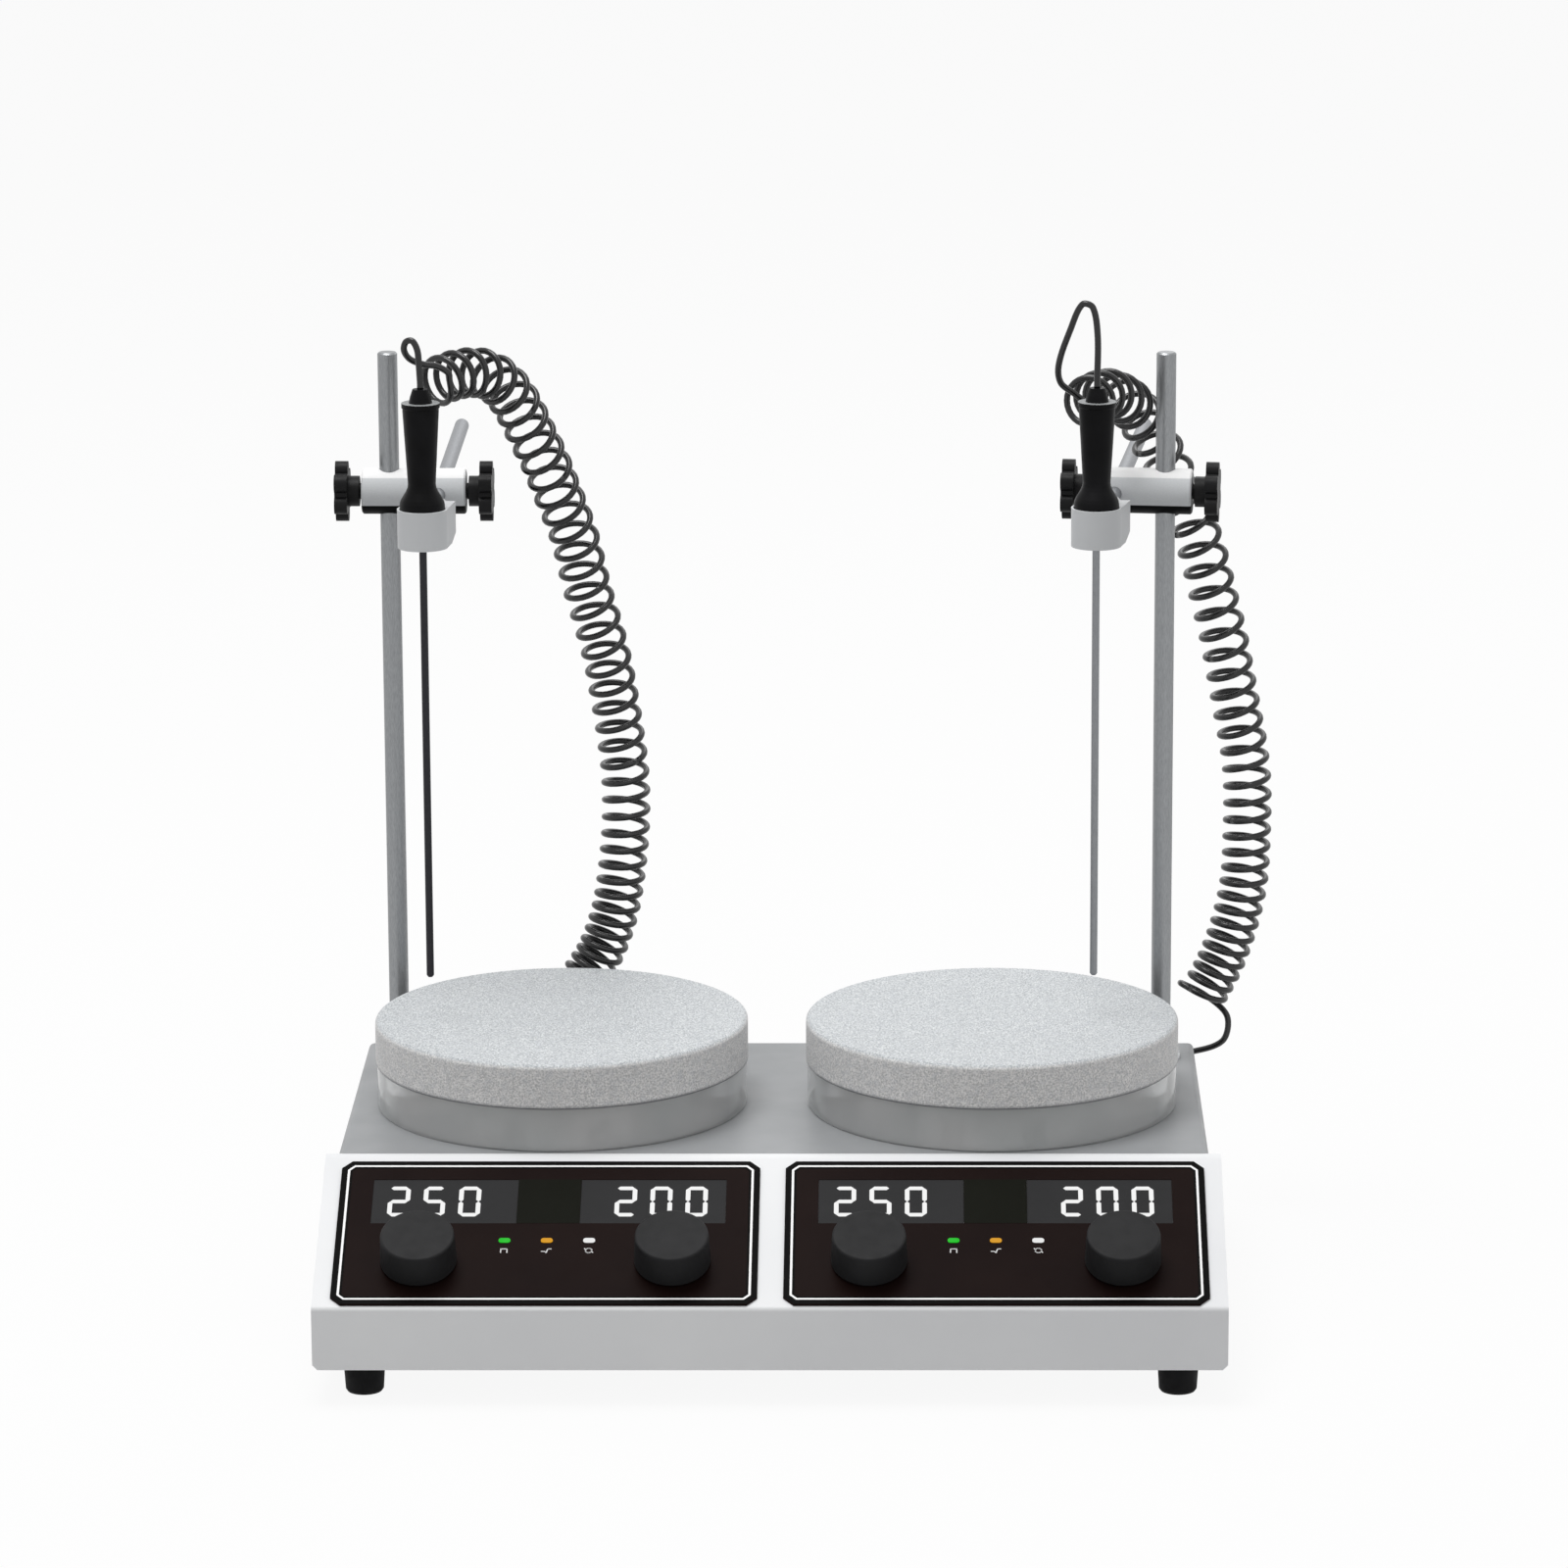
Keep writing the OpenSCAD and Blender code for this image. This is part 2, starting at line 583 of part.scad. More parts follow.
module rubber_feet() color("#1c1c1c") at_feet() difference() {
    union() {
        translate([0, 0, 1]) cylinder(d1 = foot_low_d, d2 = foot_top_d, h = foot_h - 1);
        cylinder(d1 = foot_low_d - 1.4, d2 = foot_low_d, h = 1);
    }
    translate([0, 0, -cut]) cylinder(d = 8.6, h = 4 + cut);
    cylinder(d = foot_screw_d + 0.2, h = foot_h + cut);
}

// A pan-head screw that points along +Z from its seat at the origin
module pan_screw(d, length) {
    translate([0, 0, -0.55 * d]) cylinder(d1 = 1.5 * d, d2 = 2 * d, h = 0.35 * d);
    translate([0, 0, -0.2 * d]) cylinder(d = 2 * d, h = 0.2 * d);
    cylinder(d = d, h = length);
}
module fasteners() color("silver") {
    at_feet() translate([0, 0, 4]) {
        pan_screw(foot_screw_d, foot_h + sheet_t);
        translate([0, 0, foot_h + sheet_t - 4]) cylinder(d = 7.6, h = 3, $fn = 6);
    }
    for (x = [-1, 1]) for (y = side_screw_y) translate([x * deck_w / 2, y, side_screw_z])
        rotate([0, -90 * x, 0]) pan_screw(3, 7);
    for (x = [-1, 1]) translate([x * (deck_w / 2 - 22), y_rear_panel, z_base + flange_h / 2 + 1])
        rotate([90, 0, 0]) pan_screw(3, 7);
    for (x = [-1, 1]) translate([inlet_x + x * (inlet_w / 2 - 4.5), y_rear_panel + 2, z_fitting])
        rotate([90, 0, 0]) pan_screw(3, 7);
}

// Power inlet with a shrouded cavity for three blades
module inlet_shape(w, h, c) {
    polygon([[-w / 2, -h / 2], [w / 2, -h / 2], [w / 2, h / 2 - c], [w / 2 - c, h / 2],
        [-w / 2 + c, h / 2], [-w / 2, h / 2 - c]]);
}
module power_inlet() color("#202020") difference() {
    union() {
        translate([inlet_x, 0, z_fitting]) along_y(y_rear_panel, y_rear_panel + 2)
            chamfered(inlet_w, inlet_h, 4);
        translate([inlet_x, 0, z_fitting]) along_y(y_rear_panel - inlet_depth, y_rear_panel + 1)
            square([inlet_body_w, inlet_body_h], center = true);
    }
    translate([inlet_x, 0, z_fitting]) along_y(y_rear_panel - inlet_depth + 2.5, y_rear_panel + 2 + cut)
        inlet_shape(inlet_body_w - 5, inlet_body_h - 5, 4);
    for (i = [-1, 0, 1]) translate([inlet_x + 7 * i, y_rear_panel - inlet_depth, z_fitting + 2 - 4 * abs(i)])
        cube([2.1, 12, 4.1], center = true);
    for (x = [-1, 1]) translate([inlet_x + x * (inlet_w / 2 - 4.5), y_rear_panel, z_fitting])
        rotate([90, 0, 0]) cylinder(d = 3.2, h = 12, center = true);
}
module inlet_pins() color("gold") for (i = [-1, 0, 1])
    translate([inlet_x + 7 * i, y_rear_panel - inlet_depth + 2, z_fitting + 2 - 4 * abs(i)])
    cube([2, 16, 4], center = true);

// Power switch with a rocker on a cross pin
switch_w = 13;
switch_h = 19;
rocker_w = 9;
rocker_h = 15.6;
rocker_lean = 10;
y_rocker = y_rear_panel + 1.6;
module switch_frame() color("#202020") translate([switch_x, 0, z_fitting]) difference() {
    union() {
        along_y(y_rear_panel, y_rear_panel + 2) chamfered(switch_w + 2.6, switch_h + 2.6, 1);
        along_y(y_rear_panel - 13, y_rear_panel + 1) square([switch_w, switch_h], center = true);
    }
    along_y(y_rear_panel - 10, y_rear_panel + 3) square([rocker_w + 0.8, rocker_h + 1.6], center = true);
    translate([0, y_rocker - 3, 0]) rotate([0, 90, 0])
        cylinder(d = 2 + 2 * running, h = switch_w - 1, center = true);
}
// The rocker, on with its upper half pressed in
module rocker_side() {
    half = rocker_h / 2;
    rotate(-rocker_lean) polygon([[0, -2.4], [2.6, -1.4], [2.6, 1.4], [0, 2.4],
        [0, half - 0.3], [-3.4, half - 0.3], [-2.4, 0], [-3.4, -half + 0.3], [0, -half + 0.3]]);
}
module switch_rocker() color("#2a2a2a") translate([switch_x, y_rocker - 3, z_fitting]) {
    rotate([90, 0, 90]) linear_extrude(height = rocker_w, center = true) mirror([1, 0]) rocker_side();
    rotate([0, 90, 0]) cylinder(d = 2, h = switch_w - 1.4, center = true);
}

module sensor_sockets() color("silver") for (side = [-1, 1])
    translate([side * station_x + socket_x, y_rear_panel, z_fitting]) rotate([-90, 0, 0]) difference() {
        union() {
            cylinder(d = socket_d + socket_flange, h = 2);
            cylinder(d = socket_d - 0.2, h = 2 + socket_reach);
            translate([0, 0, -socket_depth]) cylinder(d = socket_d, h = socket_depth + 1);
            translate([0, 0, -sheet_t - 2.5]) cylinder(d = socket_d + 4, h = 2.5, $fn = 6);
        }
        translate([0, 0, 3]) cylinder(d = socket_d - 3, h = 8);
    }

// Panels on the slope
module panel_holes() {
    for (x = [-1, 1]) translate([x * window_x, window_s + window_h / 2])
        square([window_w, window_h], center = true);
    for (x = led_x) translate([x, led_s]) rounded_bar(led_w + 2 * snug, led_h + 2 * snug);
    for (x = [-1, 1]) translate([x * knob_x, knob_s]) circle(d = bush_d + 2 * snug);
}
module control_panels() color("#231715") for (side = [-1, 1])
    on_slope() translate([side * panel_x, 0, 0]) linear_extrude(height = panel_t) difference() {
        translate([0, panel_s + panel_l / 2]) chamfered(panel_w, panel_l, panel_chamfer);
        panel_holes();
    }
lens_t = 0.8 * panel_t;
module display_windows() color("#333333") for (side = [-1, 1]) for (x = [-1, 1])
    on_slope() translate([side * panel_x + x * window_x, window_s + window_h / 2, 0])
    linear_extrude(height = lens_t) square([window_w - 2 * snug, window_h - 2 * snug], center = true);

// Seven strokes of a digit, lit by a word of ones and noughts
module bar(length) {
    e = stroke / 2;
    polygon([[-length / 2, 0], [-length / 2 + e, -e], [length / 2 - e, -e], [length / 2, 0],
        [length / 2 - e, e], [-length / 2 + e, e]]);
}
module digit(lit) {
    w = digit_w - stroke;
    h = (digit_h - stroke) / 2;
    gap = 0.25;
    level = [[w / 2, 2 * h], [w / 2, h], [w / 2, 0]];
    for (i = [0 : 2]) if (lit[i] == "1") translate(level[i]) bar(w - gap);
    upright = [[0, 1.5 * h], [w, 1.5 * h], [0, 0.5 * h], [w, 0.5 * h]];
    for (i = [0 : 3]) if (lit[3 + i] == "1") translate(upright[i]) rotate(90) bar(h - gap);
}
zero_strokes = "1011111";
two_strokes = "1110110";
five_strokes = "1111001";
module number(word) {
    for (i = [0 : 2]) translate([i * digit_pitch + stroke / 2, stroke / 2]) digit(word[i]);
}
module digit_segments() color("white") for (side = [-1, 1])
    on_slope() translate([side * panel_x, digit_s, lens_t]) linear_extrude(height = panel_t - lens_t) {
        translate([-window_x - window_w / 2 + digit_in, 0])
            number([two_strokes, five_strokes, zero_strokes]);
        translate([window_x - window_w / 2 + digit_out, 0])
            number([two_strokes, zero_strokes, zero_strokes]);
    }

module led_bars(x) for (side = [-1, 1])
    on_slope() translate([side * panel_x + x, led_s, -sheet_t - encoder_h])
    linear_extrude(height = sheet_t + encoder_h + panel_t + 0.3) rounded_bar(led_w, led_h);
module led_green() color("limegreen") led_bars(led_x[0]);
module led_amber() color("orange") led_bars(led_x[1]);
module led_white() color("white") led_bars(led_x[2]);

// Rotary encoders behind the slope, and the boards that carry them
module encoders() color("#8a8a8a") for (side = [-1, 1]) for (x = [-1, 1])
    on_slope() translate([side * panel_x + x * knob_x, knob_s, 0]) difference() {
        union() {
            translate([0, 0, -sheet_t - encoder_h / 2])
                cube([encoder_size, encoder_size, encoder_h], center = true);
            translate([0, 0, -sheet_t]) cylinder(d = bush_d, h = sheet_t + panel_t + 3.4);
            translate([0, 0, panel_t]) cylinder(d = bush_d + 3.5, h = 2, $fn = 6);
        }
        translate([0, 0, -sheet_t - encoder_h + 1]) cylinder(d = spindle_d + 2 * running, h = 20);
    }
board_w = 2 * knob_x + 26;
module circuit_boards() color("darkgreen") {
    for (side = [-1, 1]) on_slope() translate([side * panel_x, 0, -sheet_t - encoder_h - board_t]) {
        translate([0, (knob_s + window_s + window_h) / 2 - 4, board_t / 2])
            cube([board_w, window_s + window_h - knob_s + 12, board_t], center = true);
        for (x = [-1, 1]) translate([x * (window_x - 2), window_s + window_h / 2, board_t])
            translate([0, 0, (sheet_t + encoder_h - 0.3) / 2])
            cube([window_w - 10, window_h - 6, sheet_t + encoder_h - 0.3], center = true);
    }
    translate([0, 15, z_floor]) {
        for (x = [-1, 1]) for (y = [-1, 1]) translate([34 * x, 34 * y, 0]) cylinder(d = 6, h = 6);
        translate([-40, -40, 6]) cube([80, 80, board_t]);
        translate([-34, -12, 6 + board_t]) cube([36, 34, 28]);
        translate([12, -30, 6 + board_t]) cube([18, 26, 22]);
        translate([22, 14, 6 + board_t]) cylinder(d = 16, h = 25);
    }
}

// A knob with its spindle, standing on the slope
module knob(side, x) {
    round = 0.9;
    top = knob_h;
    on_slope() translate([side * panel_x + x * knob_x, knob_s, panel_t + knob_gap]) {
        difference() {
            rotate_extrude($fn = 96) polygon(concat([[0, 0], [knob_d / 2 - 0.4, 0], [knob_d / 2, 0.4]],
                arc([knob_d / 2 - 0.5 - round, top - round], round, 0, 90, 4), [[0, top]]));
            translate([0, 0, -cut]) cylinder(d = bush_d + 7, h = cut + 5);
        }
        translate([0, 0, -panel_t - knob_gap - sheet_t - encoder_h + 1.4])
            cylinder(d = spindle_d, h = panel_t + knob_gap + sheet_t + encoder_h + 5);
    }
}
module speed_knob_left() color("#2b2b2b") knob(-1, -1);
module heat_knob_left() color("#2b2b2b") knob(-1, 1);
module speed_knob_right() color("#2b2b2b") knob(1, -1);
module heat_knob_right() color("#2b2b2b") knob(1, 1);

// Plates, collars and posts
module hot_plate(side) {
    r = plate_d / 2;
    translate([side * station_x, station_y, z_collar]) rotate_extrude($fn = 180) polygon(concat(
        [[0, recess_h], [recess_r, recess_h], [recess_r, 0], [r - plate_chamfer, 0], [r, plate_chamfer]],
        arc([r - plate_round, plate_t - plate_round], plate_round, 0, 90, 6), [[0, plate_t]]));
}
module hot_plate_left() color("whitesmoke") hot_plate(-1);
module hot_plate_right() color("whitesmoke") hot_plate(1);
module plate_collars() color("lightblue", 0.5) at_stations() translate([0, 0, z_deck])
    rotate_extrude($fn = 180) polygon([[collar_r - collar_wall, 0], [collar_r - 0.5, 0],
        [collar_r, 0.5], [collar_r, collar_h], [collar_r - collar_wall, collar_h]]);
module plate_posts() color("silver") at_stations()
    for (a = [-post_angle, 180 + post_angle, 90]) rotate([0, 0, a]) translate([post_reach, 0, z_deck]) {
        cylinder(d = post_d - 2, h = collar_h / 3);
        translate([0, 0, collar_h / 3]) cylinder(d = post_d, h = collar_h / 3);
        translate([0, 0, 2 * collar_h / 3]) cylinder(d = post_d - 1, h = collar_h / 3);
        translate([0, 0, -sheet_t - 3]) cylinder(d = 4, h = sheet_t + 3 + cut);
    }
module heater_elements() color("dimgray") at_stations()
    translate([0, 0, z_collar + recess_h - heater_t - 0.1]) difference() {
        cylinder(d = heater_d, h = heater_t, $fn = 96);
        translate([0, 0, -cut]) cylinder(d = 18, h = heater_t + 2 * cut);
    }
module insulation_discs() color("wheat") at_stations()
    translate([0, 0, z_collar + recess_h - heater_t - insulation_t - 0.2]) difference() {
        cylinder(r = recess_r - 0.3, h = insulation_t, $fn = 96);
        translate([0, 0, -cut]) cylinder(d = 12, h = insulation_t + 2 * cut);
    }

// Motors hang from brackets over the base, and turn the magnets under the deck
module drive_motors() color("#5a5a5a") at_stations() difference() {
    union() {
        translate([0, 0, motor_z]) cylinder(d = motor_d, h = motor_h);
        translate([0, 0, bracket_z]) cylinder(d = 20, h = bracket_t + 2);
    }
    translate([0, 0, motor_z + 2]) cylinder(d = shaft_d + 2 * running, h = motor_h + bracket_t + 4);
}
module motor_brackets() color("lightgray") at_stations() difference() {
    w = motor_d + 8;
    union() {
        translate([-w / 2, -w / 2, bracket_z]) cube([w, w, bracket_t]);
        for (x = [-1, 1]) translate([x * (w - bracket_t) / 2, 0, (z_floor + bracket_z) / 2])
            cube([bracket_t, w, bracket_z - z_floor], center = true);
        for (x = [-1, 1]) translate([x * (w / 2 + 4), 0, z_floor + bracket_t / 2])
            cube([10, w, bracket_t], center = true);
    }
    translate([0, 0, bracket_z - cut]) cylinder(d = 20 + 2 * snug, h = bracket_t + 2 * cut);
}
module magnet_rotor(side) translate([side * station_x, station_y, 0]) {
    translate([0, 0, motor_z + 2.5]) cylinder(d = shaft_d, h = yoke_z - motor_z - 2.5 + yoke_t);
    translate([0, 0, bracket_z + bracket_t + 3]) cylinder(d = hub_d, h = yoke_z - bracket_z - bracket_t - 2.5);
    translate([0, 0, yoke_z]) difference() {
        cylinder(d = yoke_d, h = yoke_t, $fn = 96);
        for (a = [0, 180]) rotate([0, 0, a]) translate([0, yoke_d / 2 - 12, -cut])
            cylinder(d = 10, h = yoke_t + 2 * cut);
    }
}
module magnet_rotor_left() color("silver") magnet_rotor(-1);
module magnet_rotor_right() color("silver") magnet_rotor(1);
module drive_magnets(side) for (x = [-1, 1])
    translate([side * station_x + x * magnet_pitch / 2, station_y, yoke_z + yoke_t])
    cylinder(d = magnet_d, h = magnet_h);
module drive_magnets_left() color("lightgray") drive_magnets(-1);
module drive_magnets_right() color("lightgray") drive_magnets(1);

// Sockets and support rods at the deck's rear corners
z_seat = z_deck - rod_seat;
rod_socket_d = rod_d + 2 * rod_socket_wall;
module rod_sockets() color("silver") for (x = [-1, 1]) translate([x * rod_x, rod_y, 0]) difference() {
    union() {
        translate([0, 0, z_deck]) cylinder(d1 = rod_socket_d + 2 * rod_socket_rim, d2 = rod_socket_d + 4, h = 2.5);
        translate([0, 0, z_seat - 3]) cylinder(d = rod_socket_d, h = rod_seat + 3);
        translate([0, 0, z_deck - sheet_t - 3]) cylinder(d = rod_socket_d + 2 * rod_socket_rim, h = 3, $fn = 6);
    }
    translate([0, 0, z_seat]) cylinder(d = rod_d + 2 * running, h = rod_seat + 3);
}
module support_rod(side) translate([side * rod_x, rod_y, z_seat]) {
    cylinder(d = rod_d, h = rod_seat + rod_h - 0.6);
    translate([0, 0, rod_seat + rod_h - 0.6]) cylinder(d1 = rod_d, d2 = rod_d - 1.2, h = 0.6);
}
module support_rod_left() color("darkgray") support_rod(-1);
module support_rod_right() color("darkgray") support_rod(1);

// The clamp, arm and probe of one side, in a frame on the rod's axis
turn_of = [0, 0, right_turn];
module on_rod(side) {
    translate([side * rod_x, rod_y, z_clamp]) rotate([0, 0, turn_of[side + 1]]) children();
}
function arm_x(side) = -side * hole_pitch;
function probe_x(side) = arm_x(side) - probe_side;
clamp_l = hole_pitch + 2 * hole_end;
module clamp(side) on_rod(side) difference() {
    translate([arm_x(side) / 2, 0, 0]) rotate([0, 90, 0]) {
        cylinder(d = clamp_d, h = clamp_l - 1.2, center = true);
        for (m = [0, 1]) mirror([0, 0, m]) translate([0, 0, clamp_l / 2 - 0.6])
            cylinder(d1 = clamp_d, d2 = clamp_d - 1.2, h = 0.6);
    }
    cylinder(d = rod_d + 2 * running, h = 2 * clamp_d, center = true);
    translate([arm_x(side), 0, 0]) rotate([90, 0, 0])
        cylinder(d = arm_d + 2 * running, h = 2 * clamp_d, center = true);
    translate([side * hole_end / 2 + side * 0.5, 0, 0]) rotate([0, 90, 0])
        cylinder(d = screw_d + 2 * running, h = hole_end + 1, center = true);
    translate([arm_x(side) - side * hole_end / 2 - side * 0.5, 0, 0]) rotate([0, 90, 0])
        cylinder(d = screw_d + 2 * running, h = hole_end + 1, center = true);
}
module clamp_left() color("lightgray") clamp(-1);
module clamp_right() color("lightgray") clamp(1);

// A lobed knob on a stud: its tip at the origin, its head along +X
module star_screw(reach) rotate([0, 90, 0]) {
    hub_z = reach + star_gap;
    lobe = star_d / 2 - 8.6;
    cylinder(d = screw_d, h = hub_z + 1);
    translate([0, 0, reach + 0.2]) cylinder(d = screw_d + 2.6, h = star_gap);
    translate([0, 0, hub_z]) cylinder(d = star_hub_d, h = star_hub_h);
    translate([0, 0, hub_z + star_hub_h]) linear_extrude(height = star_t) {
        circle(d = star_d - 7);
        for (i = [0 : star_lobes - 1]) rotate(360 * i / star_lobes)
            translate([star_d / 2 - lobe, 0]) circle(r = lobe, $fn = 32);
    }
}
module rod_screw(side) on_rod(side)
    rotate([0, 0, side > 0 ? 0 : 180]) translate([rod_d / 2 + screw_tip, 0, 0])
    star_screw(hole_end - rod_d / 2 - screw_tip);
module arm_screw(side) on_rod(side) translate([arm_x(side), 0, 0])
    rotate([0, 0, side > 0 ? 180 : 0]) translate([arm_d / 2 + screw_tip, 0, 0])
    star_screw(hole_end - arm_d / 2 - screw_tip);
module rod_screw_left() color("#181818") rod_screw(-1);
module rod_screw_right() color("#181818") rod_screw(1);
module arm_screw_left() color("#181818") arm_screw(-1);
module arm_screw_right() color("#181818") arm_screw(1);

module cross_arm(side) on_rod(side) translate([arm_x(side), -arm_front, 0]) rotate([-90, 0, 0]) {
    cylinder(d = arm_d, h = arm_l - arm_chamfer);
    translate([0, 0, arm_l - arm_chamfer])
        cylinder(d1 = arm_d, d2 = arm_d - 2 * arm_chamfer, h = arm_chamfer);
}
module cross_arm_left() color("silver") cross_arm(-1);
module cross_arm_right() color("silver") cross_arm(1);

boss_l = 21;
module probe_holder(side) on_rod(side) difference() {
    union() {
        translate([probe_x(side), -probe_front, z_holder - z_clamp]) {
            cylinder(d = holder_d, h = holder_h, $fn = 72);
            intersection() {
                linear_extrude(height = holder_h) polygon([[-holder_d / 2, 0], [holder_d / 2, 0],
                    [probe_side + holder_d / 2, holder_back], [probe_side - holder_d / 2, holder_back]]);
                rotate([90, 0, 90]) linear_extrude(height = 2 * holder_d, center = true)
                    polygon([[0, 0], [holder_back - slant_l, 0], [holder_back, slant_h],
                        [holder_back, holder_h], [0, holder_h]]);
            }
        }
        translate([arm_x(side), -probe_front + boss_l, 0]) rotate([90, 0, 0])
            cylinder(d = boss_d, h = boss_l);
    }
    translate([probe_x(side), -probe_front, -2 * holder_h]) cylinder(d = probe_d + 2 * running, h = 4 * holder_h);
    translate([probe_x(side), -probe_front, z_bell - z_clamp])
        cylinder(d = bell_d + 0.4, h = holder_h, $fn = 72);
    translate([arm_x(side), -arm_front - 0.2, 0]) rotate([-90, 0, 0])
        cylinder(d = arm_d + 2 * running, h = 2 * boss_l);
}
module probe_holder_left() color("gainsboro") probe_holder(-1);
module probe_holder_right() color("gainsboro") probe_holder(1);

// A handle with its bell, shoulder, cap and strain relief, in half section
module probe_handle(side) on_rod(side) translate([probe_x(side), -probe_front, z_bell - z_clamp]) difference() {
    bell = bell_d / 2;
    neck = neck_d / 2;
    shoulder = shoulder_d / 2;
    bell_rim = 2.8;
    neck_up = 11.5;
    rotate_extrude($fn = 72) polygon(concat(
        [[0, 0], [bell - 0.4, 0], [bell, 0.4]],
        [for (i = [0 : 6]) let (t = i / 6)
            [neck + (bell - neck) * (1 + cos(180 * t)) / 2, bell_rim + (neck_up - bell_rim) * t]],
        [[shoulder, handle_h - 3.4], [shoulder, handle_h - 2.2], [shoulder + 0.4, handle_h - 1.8],
            [shoulder + 0.4, handle_h], [neck / 2 + 1.9, handle_h],
            [neck / 2 + 1.4, handle_h + 2.4], [cord_d / 2 + 1.8, handle_h + relief_h],
            [0, handle_h + relief_h]]));
    translate([0, 0, -cut]) cylinder(d = probe_d + 0.04, h = cut + handle_seat);
}
module probe_handle_left() color("#141414") probe_handle(-1);
module probe_handle_right() color("#141414") probe_handle(1);
module probe_tube(side) on_rod(side) translate([probe_x(side), -probe_front, z_bell - z_clamp - probe_l]) {
    cylinder(d1 = probe_d - 1.2, d2 = probe_d, h = 0.8);
    translate([0, 0, 0.8]) cylinder(d = probe_d, h = probe_l + handle_seat - 0.8);
}
module probe_tube_left() color("dimgray") probe_tube(-1);
module probe_tube_right() color("dimgray") probe_tube(1);

// A plug on a sensor socket, with its ring, body and boot
module sensor_plug(side) translate([side * station_x + socket_x, y_plug, z_fitting]) rotate([-90, 0, 0]) difference() {
    ring = plug_ring_d / 2;
    rotate_extrude() polygon([[0, 0], [ring - 0.6, 0], [ring, 0.6], [ring, plug_ring_l - 0.6],
        [ring - 0.6, plug_ring_l], [ring - 2, plug_ring_l], [ring - 2, plug_ring_l + plug_body_l],
        [ring - 3.4, plug_ring_l + plug_body_l], [cord_d / 2 + 0.9, y_plug_end - y_plug],
        [0, y_plug_end - y_plug]]);
    translate([0, 0, -cut]) cylinder(d = socket_d + 0.1, h = cut + socket_reach);
}
module sensor_plug_left() color("#303030") sensor_plug(-1);
module sensor_plug_right() color("#303030") sensor_plug(1);

// Where a cord leaves its handle, and where it reaches its plug
function turned(v, a) = [v[0] * cos(a) - v[1] * sin(a), v[0] * sin(a) + v[1] * cos(a), v[2]];
function relief_point(side) = [side * rod_x, rod_y, z_relief]
    + turned([probe_x(side), -probe_front, 0], turn_of[side + 1]);
function plug_point(side) = [side * station_x + socket_x, y_plug_end, z_fitting];
function lead_path(side, route, coil) = stretch_path(
    [relief_point(side), relief_point(side) + [0, 0, cord_d]], route,
    [coil[0] - cord_d * first_dir(coil), coil[0]]);
function tail_path(side, route, coil) = let (end = coil[len(coil) - 1]) stretch_path(
    [plug_point(side), plug_point(side) + [0, cord_d, 0]],
    route, [end + cord_d * last_dir(coil), end]);

module cord_coil_left() color("#101010") tube(coil_left, both_ends(outs_left), coil_sides);
module cord_coil_right() color("#101010") tube(coil_right, both_ends(outs_right), coil_sides);
module cord_lead_left() color("#101010") stretch(lead_path(-1, lead_route_left, coil_left));
module cord_lead_right() color("#101010") stretch(lead_path(1, lead_route_right, coil_right));
module cord_tail_left() color("#101010") stretch(tail_path(-1, tail_route_left, coil_left));
module cord_tail_right() color("#101010") stretch(tail_path(1, tail_route_right, coil_right));

base_pan();
front_housing();
top_deck();
rear_panel();
rubber_feet();
fasteners();
power_inlet();
inlet_pins();
switch_frame();
switch_rocker();
sensor_sockets();
control_panels();
display_windows();
digit_segments();
led_green();
led_amber();
led_white();
encoders();
circuit_boards();
speed_knob_left();
heat_knob_left();
speed_knob_right();
heat_knob_right();
hot_plate_left();
hot_plate_right();
plate_collars();
plate_posts();
heater_elements();
insulation_discs();
drive_motors();
motor_brackets();
magnet_rotor_left();
magnet_rotor_right();
drive_magnets_left();
drive_magnets_right();
rod_sockets();
support_rod_left();
support_rod_right();
clamp_left();
clamp_right();
rod_screw_left();
rod_screw_right();
arm_screw_left();
arm_screw_right();
cross_arm_left();
cross_arm_right();
probe_holder_left();
probe_holder_right();
probe_handle_left();
probe_handle_right();
probe_tube_left();
probe_tube_right();
sensor_plug_left();
sensor_plug_right();
cord_lead_left();
cord_lead_right();
cord_coil_left();
cord_coil_right();
cord_tail_left();
cord_tail_right();
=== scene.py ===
import json
import math

import bpy
from mathutils import Matrix, Vector


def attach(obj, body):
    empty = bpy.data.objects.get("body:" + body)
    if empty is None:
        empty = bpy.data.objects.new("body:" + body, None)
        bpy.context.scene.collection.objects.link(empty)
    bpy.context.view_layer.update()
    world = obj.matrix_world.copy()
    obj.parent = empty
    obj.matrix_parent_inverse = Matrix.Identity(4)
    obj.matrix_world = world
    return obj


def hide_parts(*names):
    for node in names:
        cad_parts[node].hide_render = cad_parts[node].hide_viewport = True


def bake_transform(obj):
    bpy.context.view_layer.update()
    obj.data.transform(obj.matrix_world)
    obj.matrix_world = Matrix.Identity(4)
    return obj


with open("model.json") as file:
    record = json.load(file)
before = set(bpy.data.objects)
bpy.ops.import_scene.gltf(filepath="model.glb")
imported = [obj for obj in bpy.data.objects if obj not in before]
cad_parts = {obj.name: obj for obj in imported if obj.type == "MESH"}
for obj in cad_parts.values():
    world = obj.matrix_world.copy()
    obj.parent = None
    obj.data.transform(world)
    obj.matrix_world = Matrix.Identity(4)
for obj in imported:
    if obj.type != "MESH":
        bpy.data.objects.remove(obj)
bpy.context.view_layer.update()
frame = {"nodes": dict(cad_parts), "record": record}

# One millimetre, in metres
MM = 0.001

